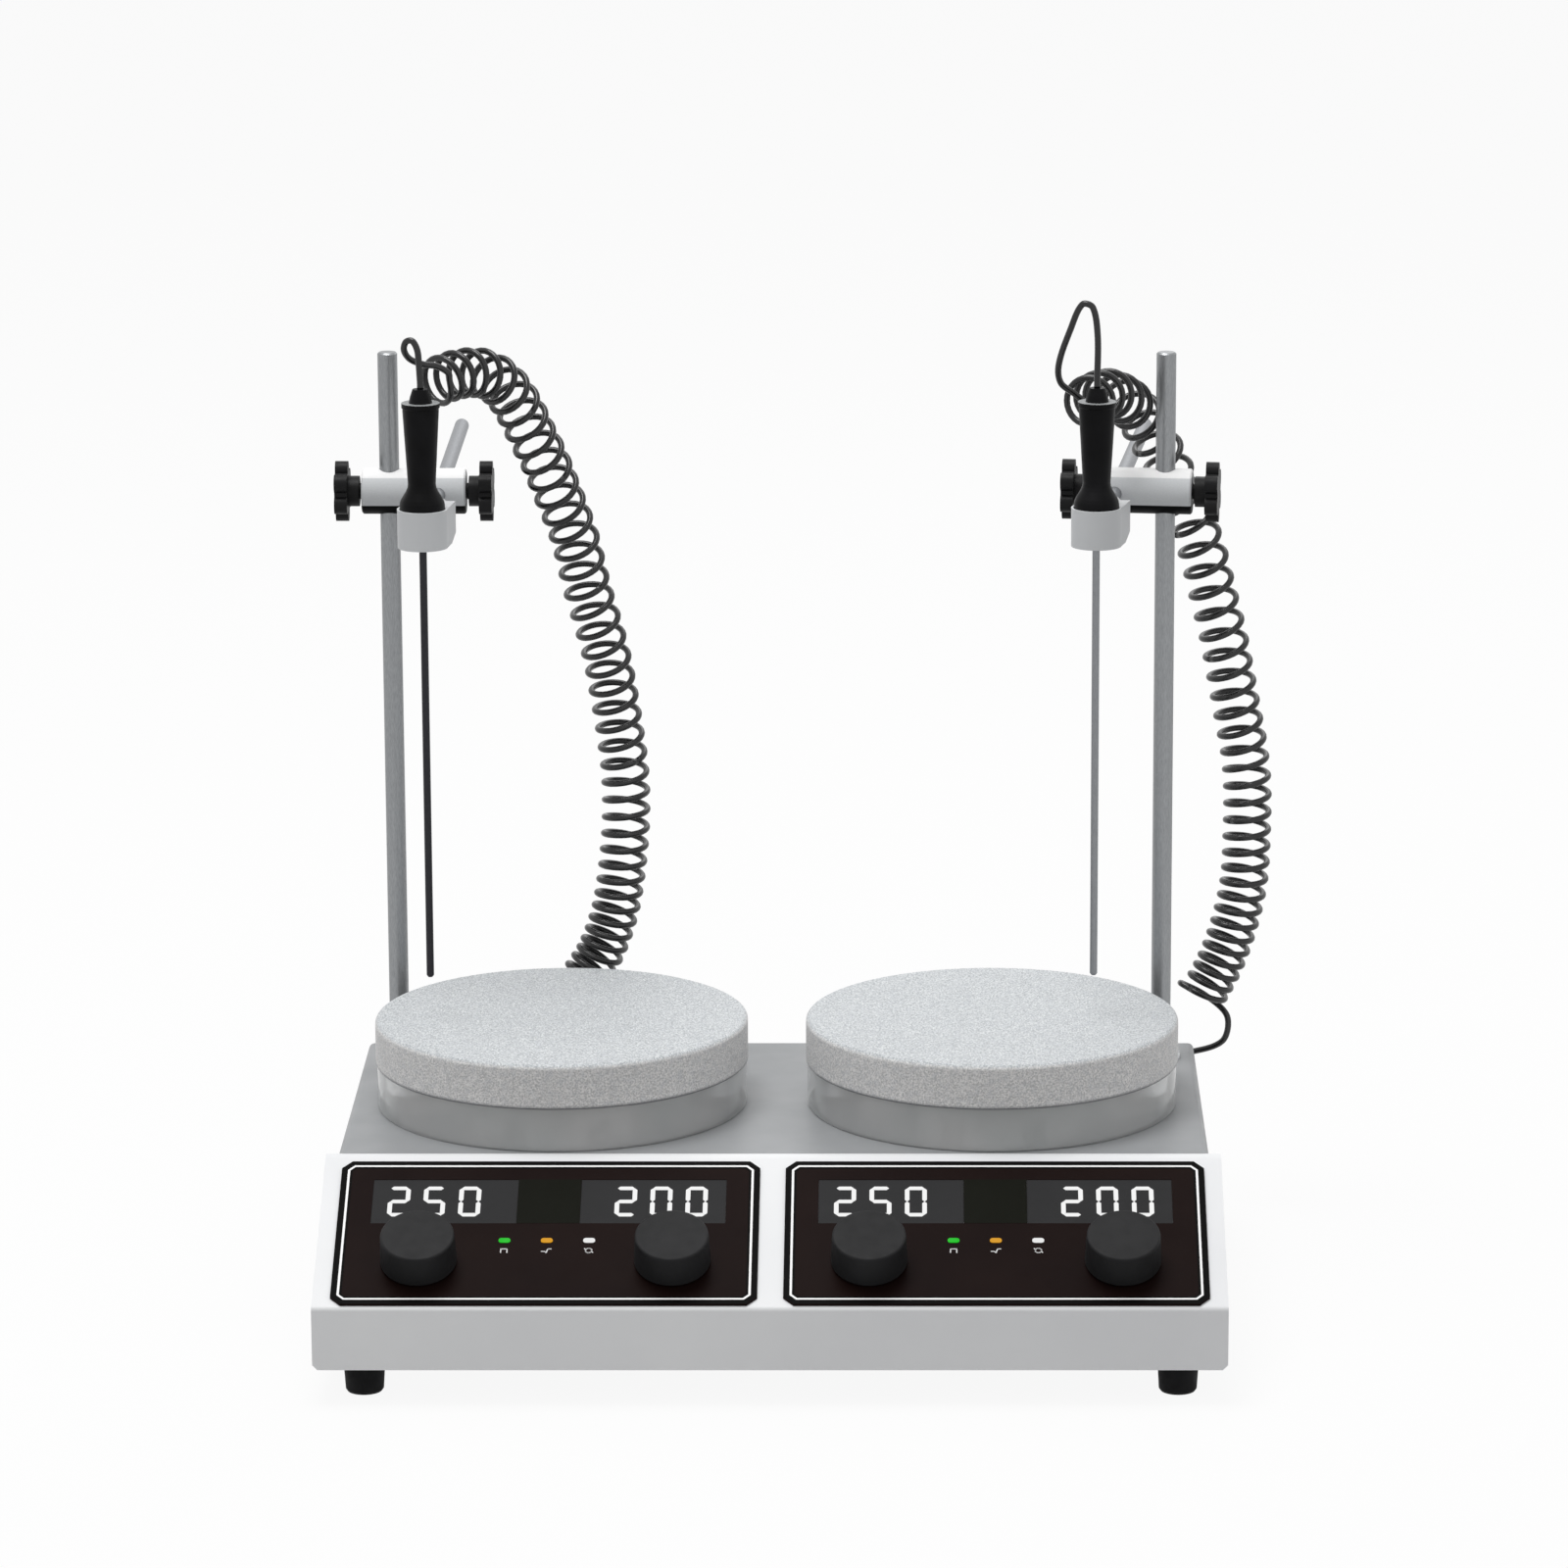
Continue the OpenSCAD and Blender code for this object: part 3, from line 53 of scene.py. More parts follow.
# Lines of the housing in side view, and where the controls lie on the slope
Y_FRONT = -121
Z_CREASE = 39.5
Z_DECK = 77
SLOPE_RUN = 78.7
SLOPE = math.atan2(Z_DECK - Z_CREASE, SLOPE_RUN)
PANEL_X = 87
PANEL_W = 164
PANEL_L = 81.5
PANEL_S = 1.2
PANEL_T = 1.0
PANEL_CHAMFER = 4
WINDOW_H = 25.2
WINDOW_GAP = 24.6
TOP_MARGIN = 10.6
WINDOW_S = PANEL_S + PANEL_L - TOP_MARGIN - WINDOW_H
KNOB_RISE = 24
LED_PITCH = 16.4
LED_RISE = 11.8
LED_S = PANEL_S + KNOB_RISE + LED_RISE

# Stands, probes and rear fittings
ROD_X = 157
ROD_Y = 100
Z_CLAMP = 315
HOLE_PITCH = 20
RIGHT_TURN = math.radians(-6.5)
PROBE_SIDE = 2.1
PROBE_FRONT = 67
Z_CAP = 363.5
Z_RELIEF = 369
PLATE_X = 86.7
SOCKET_X = 40
Y_PLUG_END = 155.4
Z_FITTING = 43.5
Z_COLLAR = 94.5

# The coiled cords
CORD_D = 2.6
CURL_D = 20.5
CURLS = {"left": 42, "right": 39}
PITCH_RATIO = 0.4
BUNCHING = {"left": 0.7, "right": 0.3}
BUNCH_POWER = {"left": 3, "right": 6}
CURL_RINGS = 28
CORD_SIDES = 12
# How far each way a route's direction is taken, and how closely a free stretch is drawn
HEADING_REACH = 0.5
PATH_STEP = 0.8

# The camera: its film and lens in millimetres, its place and reach in metres, its tilt in degrees
SENSOR_WIDTH = 36
LENS = 158.8
LENS_SHIFT = (-0.084, 0.0267)
CAMERA_PLACE = (0.05594, -2.65096, 0.85612)
CAMERA_TILT = 76.1
CAMERA_REACH = 50


def make_camera():
    """The photographed view: a long lens, a little above the bench"""
    data = bpy.data.cameras.new("camera")
    data.sensor_width = SENSOR_WIDTH
    data.lens = LENS
    data.shift_x, data.shift_y = LENS_SHIFT
    data.clip_end = CAMERA_REACH
    camera = bpy.data.objects.new("camera", data)
    camera.location = CAMERA_PLACE
    camera.rotation_euler = (math.radians(CAMERA_TILT), 0, 0)
    bpy.context.scene.collection.objects.link(camera)
    bpy.context.scene.camera = camera


def points(rows):
    return [Vector(row) * MM for row in rows]


# The way each coil's middle runs, from its probe down to its socket
COIL_ROUTES = {
    "left": points([
        (-134.5, 50, 368.5), (-128, 57, 370), (-121.5, 64, 370), (-115, 71, 368), (-109, 78, 362),
        (-104, 85, 353), (-99, 93, 340), (-94, 101, 327), (-89.5, 110, 312), (-86, 116, 301),
        (-83, 121, 290), (-79, 129, 269), (-75, 134, 253), (-71.5, 139, 237), (-69, 144, 220),
        (-67, 147, 205), (-65, 150, 185), (-65, 150, 164), (-67, 150, 143), (-70, 150, 126),
        (-76, 150, 109), (-84, 150, 96)]),
    "right": points([
        (123.5, 62, 358.5), (128, 72, 359), (133, 84, 358), (138.5, 96, 354), (144, 109, 347.5),
        (150, 117, 338), (154.5, 122, 329), (158.5, 125.5, 321), (163, 129, 310), (168.5, 132, 298),
        (174, 136, 282), (178.5, 140, 264), (183, 143, 246), (186.5, 146, 228), (189.5, 148, 212),
        (192.5, 150, 196), (194, 150, 181), (194, 150, 158), (193, 150, 139), (189, 150, 120),
        (183.5, 150, 104), (177, 150, 91)]),
}
# The free stretch above each handle
LEAD_ROUTES = {
    "left": points([
        (-139.5, 33, 379), (-140, 33, 384.5), (-142, 34, 388), (-144.5, 35, 387.5), (-145.5, 36.5, 384),
        (-143.5, 39, 380), (-138.5, 41, 377.5), (-133, 42, 376.5)]),
    "right": points([
        (127.5, 36, 390), (125.5, 36.5, 401), (121.5, 37.5, 402), (117, 41.5, 391.5), (112.5, 48, 376),
        (113.5, 52, 368), (119.5, 53.5, 363), (127, 55.5, 356), (129.5, 58.5, 350)]),
}
# The free stretch between each plug and its coil
TAIL_ROUTES = {
    "left": points([
        (-47, 162, 44), (-50, 169, 48), (-60, 168, 57), (-72, 158, 68), (-83, 144, 77), (-88, 138, 88),
        (-86.5, 137.5, 95)]),
    "right": points([
        (127, 162, 44), (131, 169, 46), (147, 169, 54), (170, 159, 62), (185, 153, 69), (187, 156, 79),
        (178, 160, 87), (168, 155, 93.5)]),
}
COIL_START = {"left": 180, "right": 280}
COIL_REF = {"left": Vector((-0.64, 0.77, 0)), "right": Vector((-0.8, 0.6, 0))}
SIDES = {"left": -1, "right": 1}
# A coil's parts by their curls: each lies across one joint between the probe and the housing,
# and the last one runs to the coil's end
CUTS = [("probe", "holder", 0, 7), ("holder", "arm", 7, 11), ("arm", "clamp", 11, 17),
        ("clamp", "rod", 17, 26), ("rod", "root", 26, None)]


class Route:
    """A smooth curve through points, by the distance along their chords"""

    def __init__(self, p):
        self.p = p
        self.k = [0.0]
        for a, b in zip(p, p[1:]):
            self.k.append(self.k[-1] + (b - a).length)
        self.long = self.k[-1]

    def slope(self, i):
        a, b = max(i - 1, 0), min(i + 1, len(self.p) - 1)
        return (self.p[b] - self.p[a]) / (self.k[b] - self.k[a])

    def at(self, s):
        i = 0
        while i < len(self.k) - 2 and s >= self.k[i + 1]:
            i += 1
        h = self.k[i + 1] - self.k[i]
        t = (s - self.k[i]) / h
        return (self.p[i] * (1 - 3 * t * t + 2 * t ** 3) + self.p[i + 1] * (3 * t * t - 2 * t ** 3)
                + self.slope(i) * h * (t - 2 * t * t + t ** 3) + self.slope(i + 1) * h * (t ** 3 - t * t))

    def heading(self, s):
        ahead = self.at(min(s + HEADING_REACH * MM, self.long))
        behind = self.at(max(s - HEADING_REACH * MM, 0))
        return (ahead - behind).normalized()


def square_to(v, d):
    """The part of a vector that stands square to a direction"""
    return (v - d * v.dot(d)).normalized()


def coil_s(side, long, turns):
    """The place along a coil's middle after so many curls: the first ones bunch up"""
    u = turns / CURLS[side]
    bunched = BUNCHING[side] * (1 - u) ** BUNCH_POWER[side]
    return long * u * ((2 - (1 - PITCH_RATIO) * u) / (1 + PITCH_RATIO) - bunched)


def coil_point(side, route, turns):
    """A point on a coil's cord after so many curls"""
    s = coil_s(side, route.long, turns)
    d = route.heading(s)
    n = square_to(COIL_REF[side], d)
    a = math.radians(COIL_START[side] + 360 * turns)
    r = (CURL_D - CORD_D) / 2 * MM
    return route.at(s) + r * (n * math.cos(a) + d.cross(n) * math.sin(a))


def turned(x, y, side):
    """A point given from the rod's axis, with the right side turned on its rod"""
    return Matrix.Rotation(RIGHT_TURN if side == "right" else 0, 3, "Z") @ Vector((x, y, 0))


def relief_point(side):
    """The top of a probe's handle, where its cord comes out"""
    sx = SIDES[side]
    rod = Vector((sx * ROD_X, ROD_Y, Z_RELIEF))
    return (rod + turned(-sx * HOLE_PITCH - PROBE_SIDE, -PROBE_FRONT, side)) * MM


def plug_point(side):
    """The end of a plug, where its cord goes in"""
    return Vector((SIDES[side] * PLATE_X + SOCKET_X, Y_PLUG_END, Z_FITTING)) * MM


def smooth_points(p):
    """Closely spaced points on the smooth curve through a few"""
    route = Route(p)
    n = max(2, round(route.long / (PATH_STEP * MM)))
    return [route.at(route.long * i / n) for i in range(n + 1)]


def cord_line(side):
    """A whole cord's middle line, and the places along it where its coil starts and ends"""
    route = Route(COIL_ROUTES[side])
    coil = [coil_point(side, route, i / CURL_RINGS) for i in range(CURLS[side] * CURL_RINGS + 1)]
    step = CORD_D * MM
    first = (coil[1] - coil[0]).normalized()
    last = (coil[-1] - coil[-2]).normalized()
    top = relief_point(side)
    plug = plug_point(side)
    lead = smooth_points([top, top + Vector((0, 0, step))] + LEAD_ROUTES[side]
                         + [coil[0] - 2 * step * first, coil[0] - step * first, coil[0]])
    tail = smooth_points([coil[-1], coil[-1] + step * last, coil[-1] + 2 * step * last]
                         + TAIL_ROUTES[side][::-1] + [plug + Vector((0, step, 0)), plug])
    return lead[:-1] + coil + tail[1:], len(lead) - 1, len(lead) - 1 + len(coil) - 1


def tube_rings(line, radius, sides):
    """Rings of points round a line, carried along it without twist"""
    rings = []
    n = len(line) - 1
    up = Vector((0, 1, 0))
    for i, p in enumerate(line):
        d = (line[min(i + 1, n)] - line[max(i - 1, 0)]).normalized()
        up = square_to(up, d)
        across = d.cross(up)
        rings.append([p + radius * (up * math.cos(a) + across * math.sin(a))
                      for a in (2 * math.pi * j / sides for j in range(sides))])
    return rings


def mesh_object(name, verts, faces, smooth=True):
    mesh = bpy.data.meshes.new(name)
    mesh.from_pydata([tuple(v) for v in verts], [], faces)
    mesh.validate()
    for polygon in mesh.polygons:
        polygon.use_smooth = smooth
    obj = bpy.data.objects.new(name, mesh)
    bpy.context.scene.collection.objects.link(obj)
    return obj


def tube_object(name, rings):
    """A closed tube over rings of points"""
    sides = len(rings[0])
    verts = [v for ring in rings for v in ring]
    faces = []
    for i in range(len(rings) - 1):
        for j in range(sides):
            a = i * sides + j
            b = i * sides + (j + 1) % sides
            faces.append((a, b, b + sides, a + sides))
    faces.append(tuple(reversed(range(sides))))
    faces.append(tuple(range(len(verts) - sides, len(verts))))
    return mesh_object(name, verts, faces)


def make_cord(side):
    """One coiled cord, cut into parts that each lie across one joint, and a tail that stays put"""
    line, coil_from, coil_to = cord_line(side)
    rings = tube_rings(line, CORD_D / 2 * MM, CORD_SIDES)
    route = Route(COIL_ROUTES[side])
    made = []
    for upper, lower, turn_0, turn_1 in CUTS:
        turn_1 = turn_1 or CURLS[side]
        i = coil_from + turn_0 * CURL_RINGS if turn_0 else 0
        j = coil_from + turn_1 * CURL_RINGS
        piece = tube_object(f"cord_{upper}_part_{side}", rings[i:j + 1])
        if lower == "root":
            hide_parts(f"cord_coil_{side}")
        if upper == "probe":
            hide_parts(f"cord_lead_{side}")
        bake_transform(piece)
        made.append(piece)
    tail = tube_object(f"cord_end_{side}", rings[coil_to:])
    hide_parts(f"cord_tail_{side}")
    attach(tail, "root")
    made.append(tail)
    return made


make_camera()
cords = [piece for side in SIDES for piece in make_cord(side)]


def linear(code):
    """A colour written as in a web page, as linear light"""
    parts = [int(code[i:i + 2], 16) / 255 for i in (1, 3, 5)]
    return tuple(c / 12.92 if c <= 0.04045 else ((c + 0.055) / 1.055) ** 2.4 for c in parts) + (1.0,)


# Where the finishes change colour, all of it painted light and shade: a painted highlight above and a
# painted dark reflection below a clamp's axis, painted shade on a post's foot, and painted shade along a
# plate's lower edge
PAINTED_HIGHLIGHT_BAND = 6.4
PAINTED_DARK_BAND = 4.4
POST_FOOT_SHADE = 4.3
COLLAR_GAP = 0.2
PLATE_EDGE_SHADE = 1.4


class Finish:
    """A material's node tree, with short ways to add to it"""

    def __init__(self, name, colour, roughness, metallic=0.0, specular=0.5):
        self.material = bpy.data.materials.new(name)
        self.material.use_nodes = True
        self.nodes = self.material.node_tree.nodes
        self.shader = self.nodes["Principled BSDF"]
        self.shader.inputs["Base Color"].default_value = linear(colour)
        self.shader.inputs["Roughness"].default_value = roughness
        self.shader.inputs["Metallic"].default_value = metallic
        self.shader.inputs["Specular IOR Level"].default_value = specular
        self.place = self.nodes.new("ShaderNodeTexCoord").outputs["Object"]
        self.bumped = None

    def link(self, a, b):
        self.material.node_tree.links.new(a, b)

    def stretched(self, scale):
        """The place, stretched along an axis"""
        node = self.nodes.new("ShaderNodeMapping")
        node.inputs["Scale"].default_value = scale
        self.link(self.place, node.inputs["Vector"])
        return node.outputs["Vector"]

    def noise(self, scale, detail=3.0, stretch=None, rough=0.5):
        node = self.nodes.new("ShaderNodeTexNoise")
        node.inputs["Scale"].default_value = scale
        node.inputs["Detail"].default_value = detail
        node.inputs["Roughness"].default_value = rough
        self.link(self.stretched(stretch) if stretch else self.place, node.inputs["Vector"])
        return node.outputs["Fac"]

    def cells(self, scale):
        node = self.nodes.new("ShaderNodeTexVoronoi")
        node.inputs["Scale"].default_value = scale
        self.link(self.place, node.inputs["Vector"])
        return node.outputs["Distance"]

    def ranged(self, value, low, high, new_low, new_high):
        node = self.nodes.new("ShaderNodeMapRange")
        node.inputs["From Min"].default_value = low
        node.inputs["From Max"].default_value = high
        node.inputs["To Min"].default_value = new_low
        node.inputs["To Max"].default_value = new_high
        self.link(value, node.inputs["Value"])
        return node.outputs["Result"]

    def times(self, a, b):
        node = self.nodes.new("ShaderNodeMath")
        node.operation = "MULTIPLY"
        self.link(a, node.inputs[0])
        self.link(b, node.inputs[1])
        return node.outputs[0]

    def band(self, value, low, high, edge):
        """1 between two heights in millimetres, with a soft edge at each, and 0 elsewhere"""
        above = self.ranged(value, (low - edge) * MM, low * MM, 0, 1)
        below = self.ranged(value, high * MM, (high + edge) * MM, 1, 0)
        return self.times(above, below)

    def mixed(self, share, a, b):
        """A colour between two: each is a colour code or another node's colour"""
        node = self.nodes.new("ShaderNodeMix")
        node.data_type = "RGBA"
        self.link(share, node.inputs[0])
        for socket, value in ((node.inputs[6], a), (node.inputs[7], b)):
            if isinstance(value, str):
                socket.default_value = linear(value)
            else:
                self.link(value, socket)
        return node.outputs[2]

    def paint(self, colour):
        self.link(colour, self.shader.inputs["Base Color"])

    def vary_roughness(self, value, low, high):
        self.link(self.ranged(value, 0.3, 0.7, low, high), self.shader.inputs["Roughness"])

    def bump(self, height, depth, strength=1.0):
        """Adds relief of a real depth, in millimetres"""
        node = self.nodes.new("ShaderNodeBump")
        node.inputs["Distance"].default_value = depth * MM
        node.inputs["Strength"].default_value = strength
        self.link(height, node.inputs["Height"])
        if self.bumped:
            self.link(self.bumped, node.inputs["Normal"])
        self.bumped = node.outputs["Normal"]
        self.link(self.bumped, self.shader.inputs["Normal"])

    def axis(self, letter):
        node = self.nodes.new("ShaderNodeSeparateXYZ")
        self.link(self.place, node.inputs["Vector"])
        return node.outputs[letter]

    def upward(self):
        """How far the surface faces up"""
        node = self.nodes.new("ShaderNodeNewGeometry")
        split = self.nodes.new("ShaderNodeSeparateXYZ")
        self.link(node.outputs["Normal"], split.inputs["Vector"])
        return split.outputs["Z"]


def enamel(name, colour, dusty, roughness, specular=0.5):
    """Powder-coated sheet: a fine orange peel and a faint change of tone"""
    f = Finish(name, colour, roughness, specular=specular)
    f.paint(f.mixed(f.ranged(f.noise(9, 4), 0.35, 0.7, 0, 1), colour, dusty))
    f.vary_roughness(f.noise(60, 4), roughness - 0.05, roughness + 0.07)
    f.bump(f.noise(1500, 2), 0.02, 0.5)
    return f.material


def steel(name, colour, worn, roughness, stretch, metallic=1.0):
    """Brushed or drawn metal, with its lines along the short side of the stretch"""
    f = Finish(name, colour, roughness, metallic=metallic)
    lines = f.noise(1000, 3, stretch, 0.6)
    f.paint(f.mixed(f.ranged(lines, 0.3, 0.7, 0, 1), colour, worn))
    f.vary_roughness(lines, roughness - 0.06, roughness + 0.1)
    f.bump(lines, 0.006, 0.5)
    return f.material


def plastic(name, colour, rubbed, roughness, grain=0.02, specular=0.5):
    """Moulded plastic: a spark-eroded grain, paler where it is handled"""
    f = Finish(name, colour, roughness, specular=specular)
    f.paint(f.mixed(f.ranged(f.noise(45, 4), 0.4, 0.75, 0, 1), colour, rubbed))
    f.vary_roughness(f.noise(220, 3), roughness - 0.06, roughness + 0.08)
    f.bump(f.noise(2600, 2), grain, 0.6)
    return f.material


def frosted_ceramic():
    """The plates: a speckled glaze, painted paler on the side than on top as painted light and shade, with
    painted shade along the lower edge
    """
    f = Finish("plate_ceramic", "#d3d5d7", 0.55, specular=0.2)
    specks = f.noise(1500, 2, rough=0.8)
    grain = f.ranged(specks, 0.4, 0.6, 0, 1)
    top = f.mixed(grain, "#a1a5a9", "#e9eced")
    side = f.mixed(grain, "#c6c6c6", "#fdfcfb")
    # The side is painted lighter than the top by which way the surface faces: painted light and shade
    shade_by_facing = f.mixed(f.ranged(f.upward(), 0.4, 0.8, 0, 1), side, top)
    cloudy = f.mixed(f.ranged(f.noise(420, 3), 0.45, 0.7, 0, 0.3), shade_by_facing, "#b7bcc3")
    dark = f.mixed(f.ranged(f.cells(900), 0.05, 0.16, 0.8, 0), cloudy, "#8d9197")
    # Painted shade darkens the plate's lower edge, just above its collar
    height = f.axis("Z")
    z_edge_shade = Z_COLLAR + COLLAR_GAP
    edge = f.ranged(height, z_edge_shade * MM, (z_edge_shade + PLATE_EDGE_SHADE) * MM, 0.85, 0)
    f.paint(f.mixed(edge, dark, "#5b5d64"))
    f.vary_roughness(specks, 0.45, 0.65)
    f.bump(specks, 0.05, 0.7)
    return f.material


def clear_glass():
    """The collars: slightly milky glass, clearer where it is faced than along its edges"""
    f = Finish("collar_glass", "#e3e9ea", 0.06)
    rim = f.nodes.new("ShaderNodeLayerWeight")
    rim.inputs["Blend"].default_value = 0.35
    clouds = f.noise(25, 2)
    f.paint(f.mixed(f.ranged(clouds, 0.35, 0.65, 0, 1), "#f2f5f5", "#ffffff"))
    f.link(f.ranged(rim.outputs["Facing"], 0.45, 0.95, 0.34, 0.85), f.shader.inputs["Alpha"])
    f.vary_roughness(clouds, 0.04, 0.08)
    f.bump(f.noise(60, 2), 0.03, 0.3)
    return f.material


def clamp_metal():
    """The clamps: anodised bars, with a white band on top that is a painted highlight and a black strip
    below that is a painted dark reflection
    """
    f = Finish("clamp_metal", "#c9cccd", 0.42, specular=0.04)
    height = f.axis("Z")
    lines = f.noise(900, 3, (1, 12, 12))
    body = f.mixed(f.ranged(lines, 0.3, 0.7, 0, 1), "#cdd0d2", "#dadcde")
    # The white band above the axis is a painted highlight, and the black strip below it is a painted dark
    # reflection
    z_painted_highlight = Z_CLAMP + PAINTED_HIGHLIGHT_BAND
    z_painted_dark = Z_CLAMP - PAINTED_DARK_BAND
    top = f.mixed(f.ranged(height, z_painted_highlight * MM, (z_painted_highlight + 0.3) * MM, 0, 1), body, "#fbfbfb")
    f.paint(f.mixed(f.ranged(height, (z_painted_dark - 0.3) * MM, z_painted_dark * MM, 1, 0), top, "#060607"))
    f.vary_roughness(lines, 0.36, 0.5)
    f.bump(lines, 0.005, 0.4)
    return f.material


def post_chrome():
    """The posts under the plates: bright steel with a turned line near the top, and black at the foot as
    painted shade
    """
    f = Finish("post_steel", "#d5d7d9", 0.14, metallic=1.0)
    height = f.axis("Z")
    lines = f.noise(900, 3, (1, 1, 10))
    body = f.mixed(f.ranged(lines, 0.3, 0.7, 0, 1), "#f4f5f6", "#d4d6d8")
    grooved = f.mixed(f.band(height, Z_COLLAR - 5.4, Z_COLLAR - 5.0, 0.6), body, "#4a4c50")
    # Black at the foot is painted shade, standing in for the shadow at each post's base
    foot_shade = f.ranged(height, (Z_DECK + POST_FOOT_SHADE) * MM, (Z_DECK + POST_FOOT_SHADE + 0.3) * MM, 1, 0)
    f.paint(f.mixed(foot_shade, grooved, "#0d0d0e"))
    f.vary_roughness(lines, 0.1, 0.22)
    f.bump(lines, 0.004, 0.4)
    return f.material


def handle_plastic():
    """The handles: black, with light grey on the upward faces at the cap as a painted highlight"""
    f = Finish("handle_plastic", "#131314", 0.4, specular=0.08)
    height = f.axis("Z")
    body = f.mixed(f.ranged(f.noise(60, 3), 0.4, 0.75, 0, 1), "#0c0c0d", "#19191b")
    upward_highlight = f.ranged(f.upward(), 0.8, 0.95, 0, 1)
    at_cap = f.band(height, Z_CAP - 0.3, Z_CAP + 0.4, 0.2)
    # The light grey on the cap's upward faces is a painted highlight
    f.paint(f.mixed(f.times(upward_highlight, at_cap), body, "#97999a"))
    f.vary_roughness(f.noise(200, 3), 0.34, 0.48)
    f.bump(f.noise(2600, 2), 0.015, 0.5)
    return f.material


def lamp(name, colour, strength, roughness=0.3):
    """A lit digit or indicator: a dark lens that glows in its own colour"""
    f = Finish(name, "#050505", roughness, specular=0.1)
    glow = f.mixed(f.ranged(f.noise(500, 2), 0.3, 0.7, 0, 0.02), colour, "#ffffff")
    f.link(glow, f.shader.inputs["Emission Color"])
    f.shader.inputs["Emission Strength"].default_value = strength
    return f.material


def cord_rubber():
    """The cords: glossy black, with faint ripples from the extruder"""
    f = Finish("cord_rubber", "#0b0b0c", 0.26, specular=0.5)
    f.paint(f.mixed(f.ranged(f.noise(120, 3), 0.4, 0.7, 0, 1), "#09090a", "#141416"))
    f.vary_roughness(f.noise(150, 3), 0.2, 0.34)
    f.bump(f.noise(700, 2), 0.02, 0.4)
    return f.material


def board_laminate():
    f = Finish("board_laminate", "#12402a", 0.45)
    f.paint(f.mixed(f.ranged(f.cells(300), 0.1, 0.3, 0, 1), "#1d5a3c", "#0e3622"))
    f.bump(f.cells(300), 0.05, 0.4)
    return f.material


def panel_film():
    """The control panels: a printed film with a satin face"""
    f = Finish("panel_film", "#1a100f", 0.4, specular=0.03)
    f.paint(f.mixed(f.ranged(f.noise(25, 3), 0.35, 0.7, 0, 1), "#180e0d", "#1d1210"))
    f.vary_roughness(f.noise(90, 3), 0.32, 0.46)
    f.bump(f.noise(1800, 2), 0.01, 0.5)
    return f.material


MATERIALS = {
    "base_metal": enamel("base_metal", "#a3a5a7", "#9a9c9e", 0.45),
    "housing_metal": enamel("housing_metal", "#f4f5f6", "#ecedef", 0.4, 0.25),
    "deck_metal": enamel("deck_metal", "#9ea0a2", "#919395", 0.42, 0.35),
    "rear_metal": enamel("rear_metal", "#8f9193", "#86888a", 0.48, 0.3),
    "foot_rubber": plastic("foot_rubber", "#141415", "#1f1f20", 0.7, 0.04, 0.15),
    "screw_steel": steel("screw_steel", "#b8babd", "#9a9ca0", 0.3, (1, 1, 6)),
    "black_plastic": plastic("black_plastic", "#161617", "#202021", 0.5, 0.03, 0.2),
    "inlet_brass": steel("inlet_brass", "#c9a45a", "#a98443", 0.3, (6, 1, 6)),
    "rocker_plastic": plastic("rocker_plastic", "#141415", "#1b1b1c", 0.22, 0.004, 0.3),
    "socket_metal": steel("socket_metal", "#c4c6c8", "#acaeb1", 0.22, (6, 6, 1)),
    "panel_film": panel_film(),
    "window_plastic": plastic("window_plastic", "#323233", "#343435", 0.35, 0.0005, 0.04),
    "digit_light": lamp("digit_light", "#ffffff", 0.9),
    "led_green": lamp("led_green", "#0cc41c", 0.95),
    "led_amber": lamp("led_amber", "#dc9a08", 0.95),
    "led_white": lamp("led_white", "#f4f4f4", 0.9),
    "encoder_metal": steel("encoder_metal", "#9fa1a4", "#85878a", 0.4, (1, 1, 6)),
    "board_laminate": board_laminate(),
    "knob_plastic": plastic("knob_plastic", "#242425", "#2a2a2b", 0.5, 0.02, 0.1),
    "plate_ceramic": frosted_ceramic(),
    "collar_glass": clear_glass(),
    "post_steel": post_chrome(),
    "heater_metal": steel("heater_metal", "#8f9194", "#7c7e81", 0.45, (1, 6, 1)),
    "insulation": plastic("insulation", "#cfc6b0", "#dcd5c4", 0.85, 0.2, 0.2),
    "motor_paint": enamel("motor_paint", "#2a2b2d", "#333436", 0.4),
    "bracket_steel": steel("bracket_steel", "#b0b2b5", "#9b9da0", 0.35, (1, 8, 1)),
    "yoke_steel": steel("yoke_steel", "#a0a2a5", "#8a8c8f", 0.35, (1, 8, 1)),
    "magnet_iron": plastic("magnet_iron", "#6a6b6e", "#77787b", 0.4, 0.03),
    "rod_steel": steel("rod_steel", "#9c9ea0", "#828486", 0.38, (8, 8, 0.4)),
    "clamp_metal": clamp_metal(),
    "screw_plastic": plastic("screw_plastic", "#121213", "#1c1c1d", 0.45, 0.02, 0.15),
    "arm_steel": steel("arm_steel", "#97999c", "#828488", 0.5, (8, 0.4, 8)),
    "holder_metal": enamel("holder_metal", "#dcdee0", "#d2d4d6", 0.42, 0.2),
    "handle_plastic": handle_plastic(),
    "tube_dark": steel("tube_dark", "#39393c", "#2b2b2e", 0.35, (8, 8, 0.4)),
    "tube_steel": steel("tube_steel", "#8d8f92", "#7b7d80", 0.35, (8, 8, 0.4)),
    "plug_plastic": plastic("plug_plastic", "#1b1b1c", "#252527", 0.4, 0.03, 0.25),
    "cord_rubber": cord_rubber(),
}


def dress(obj, material):
    obj.data.materials.clear()
    obj.data.materials.append(material)


def dress_frame():
    """Every node of the frame gets the finish that its slot names"""
    for subpart in frame["record"]["subparts"]:
        dress(frame["nodes"][subpart["node"]], MATERIALS[subpart["material_slot"]])


dress_frame()
for piece in cords:
    dress(piece, MATERIALS["cord_rubber"])

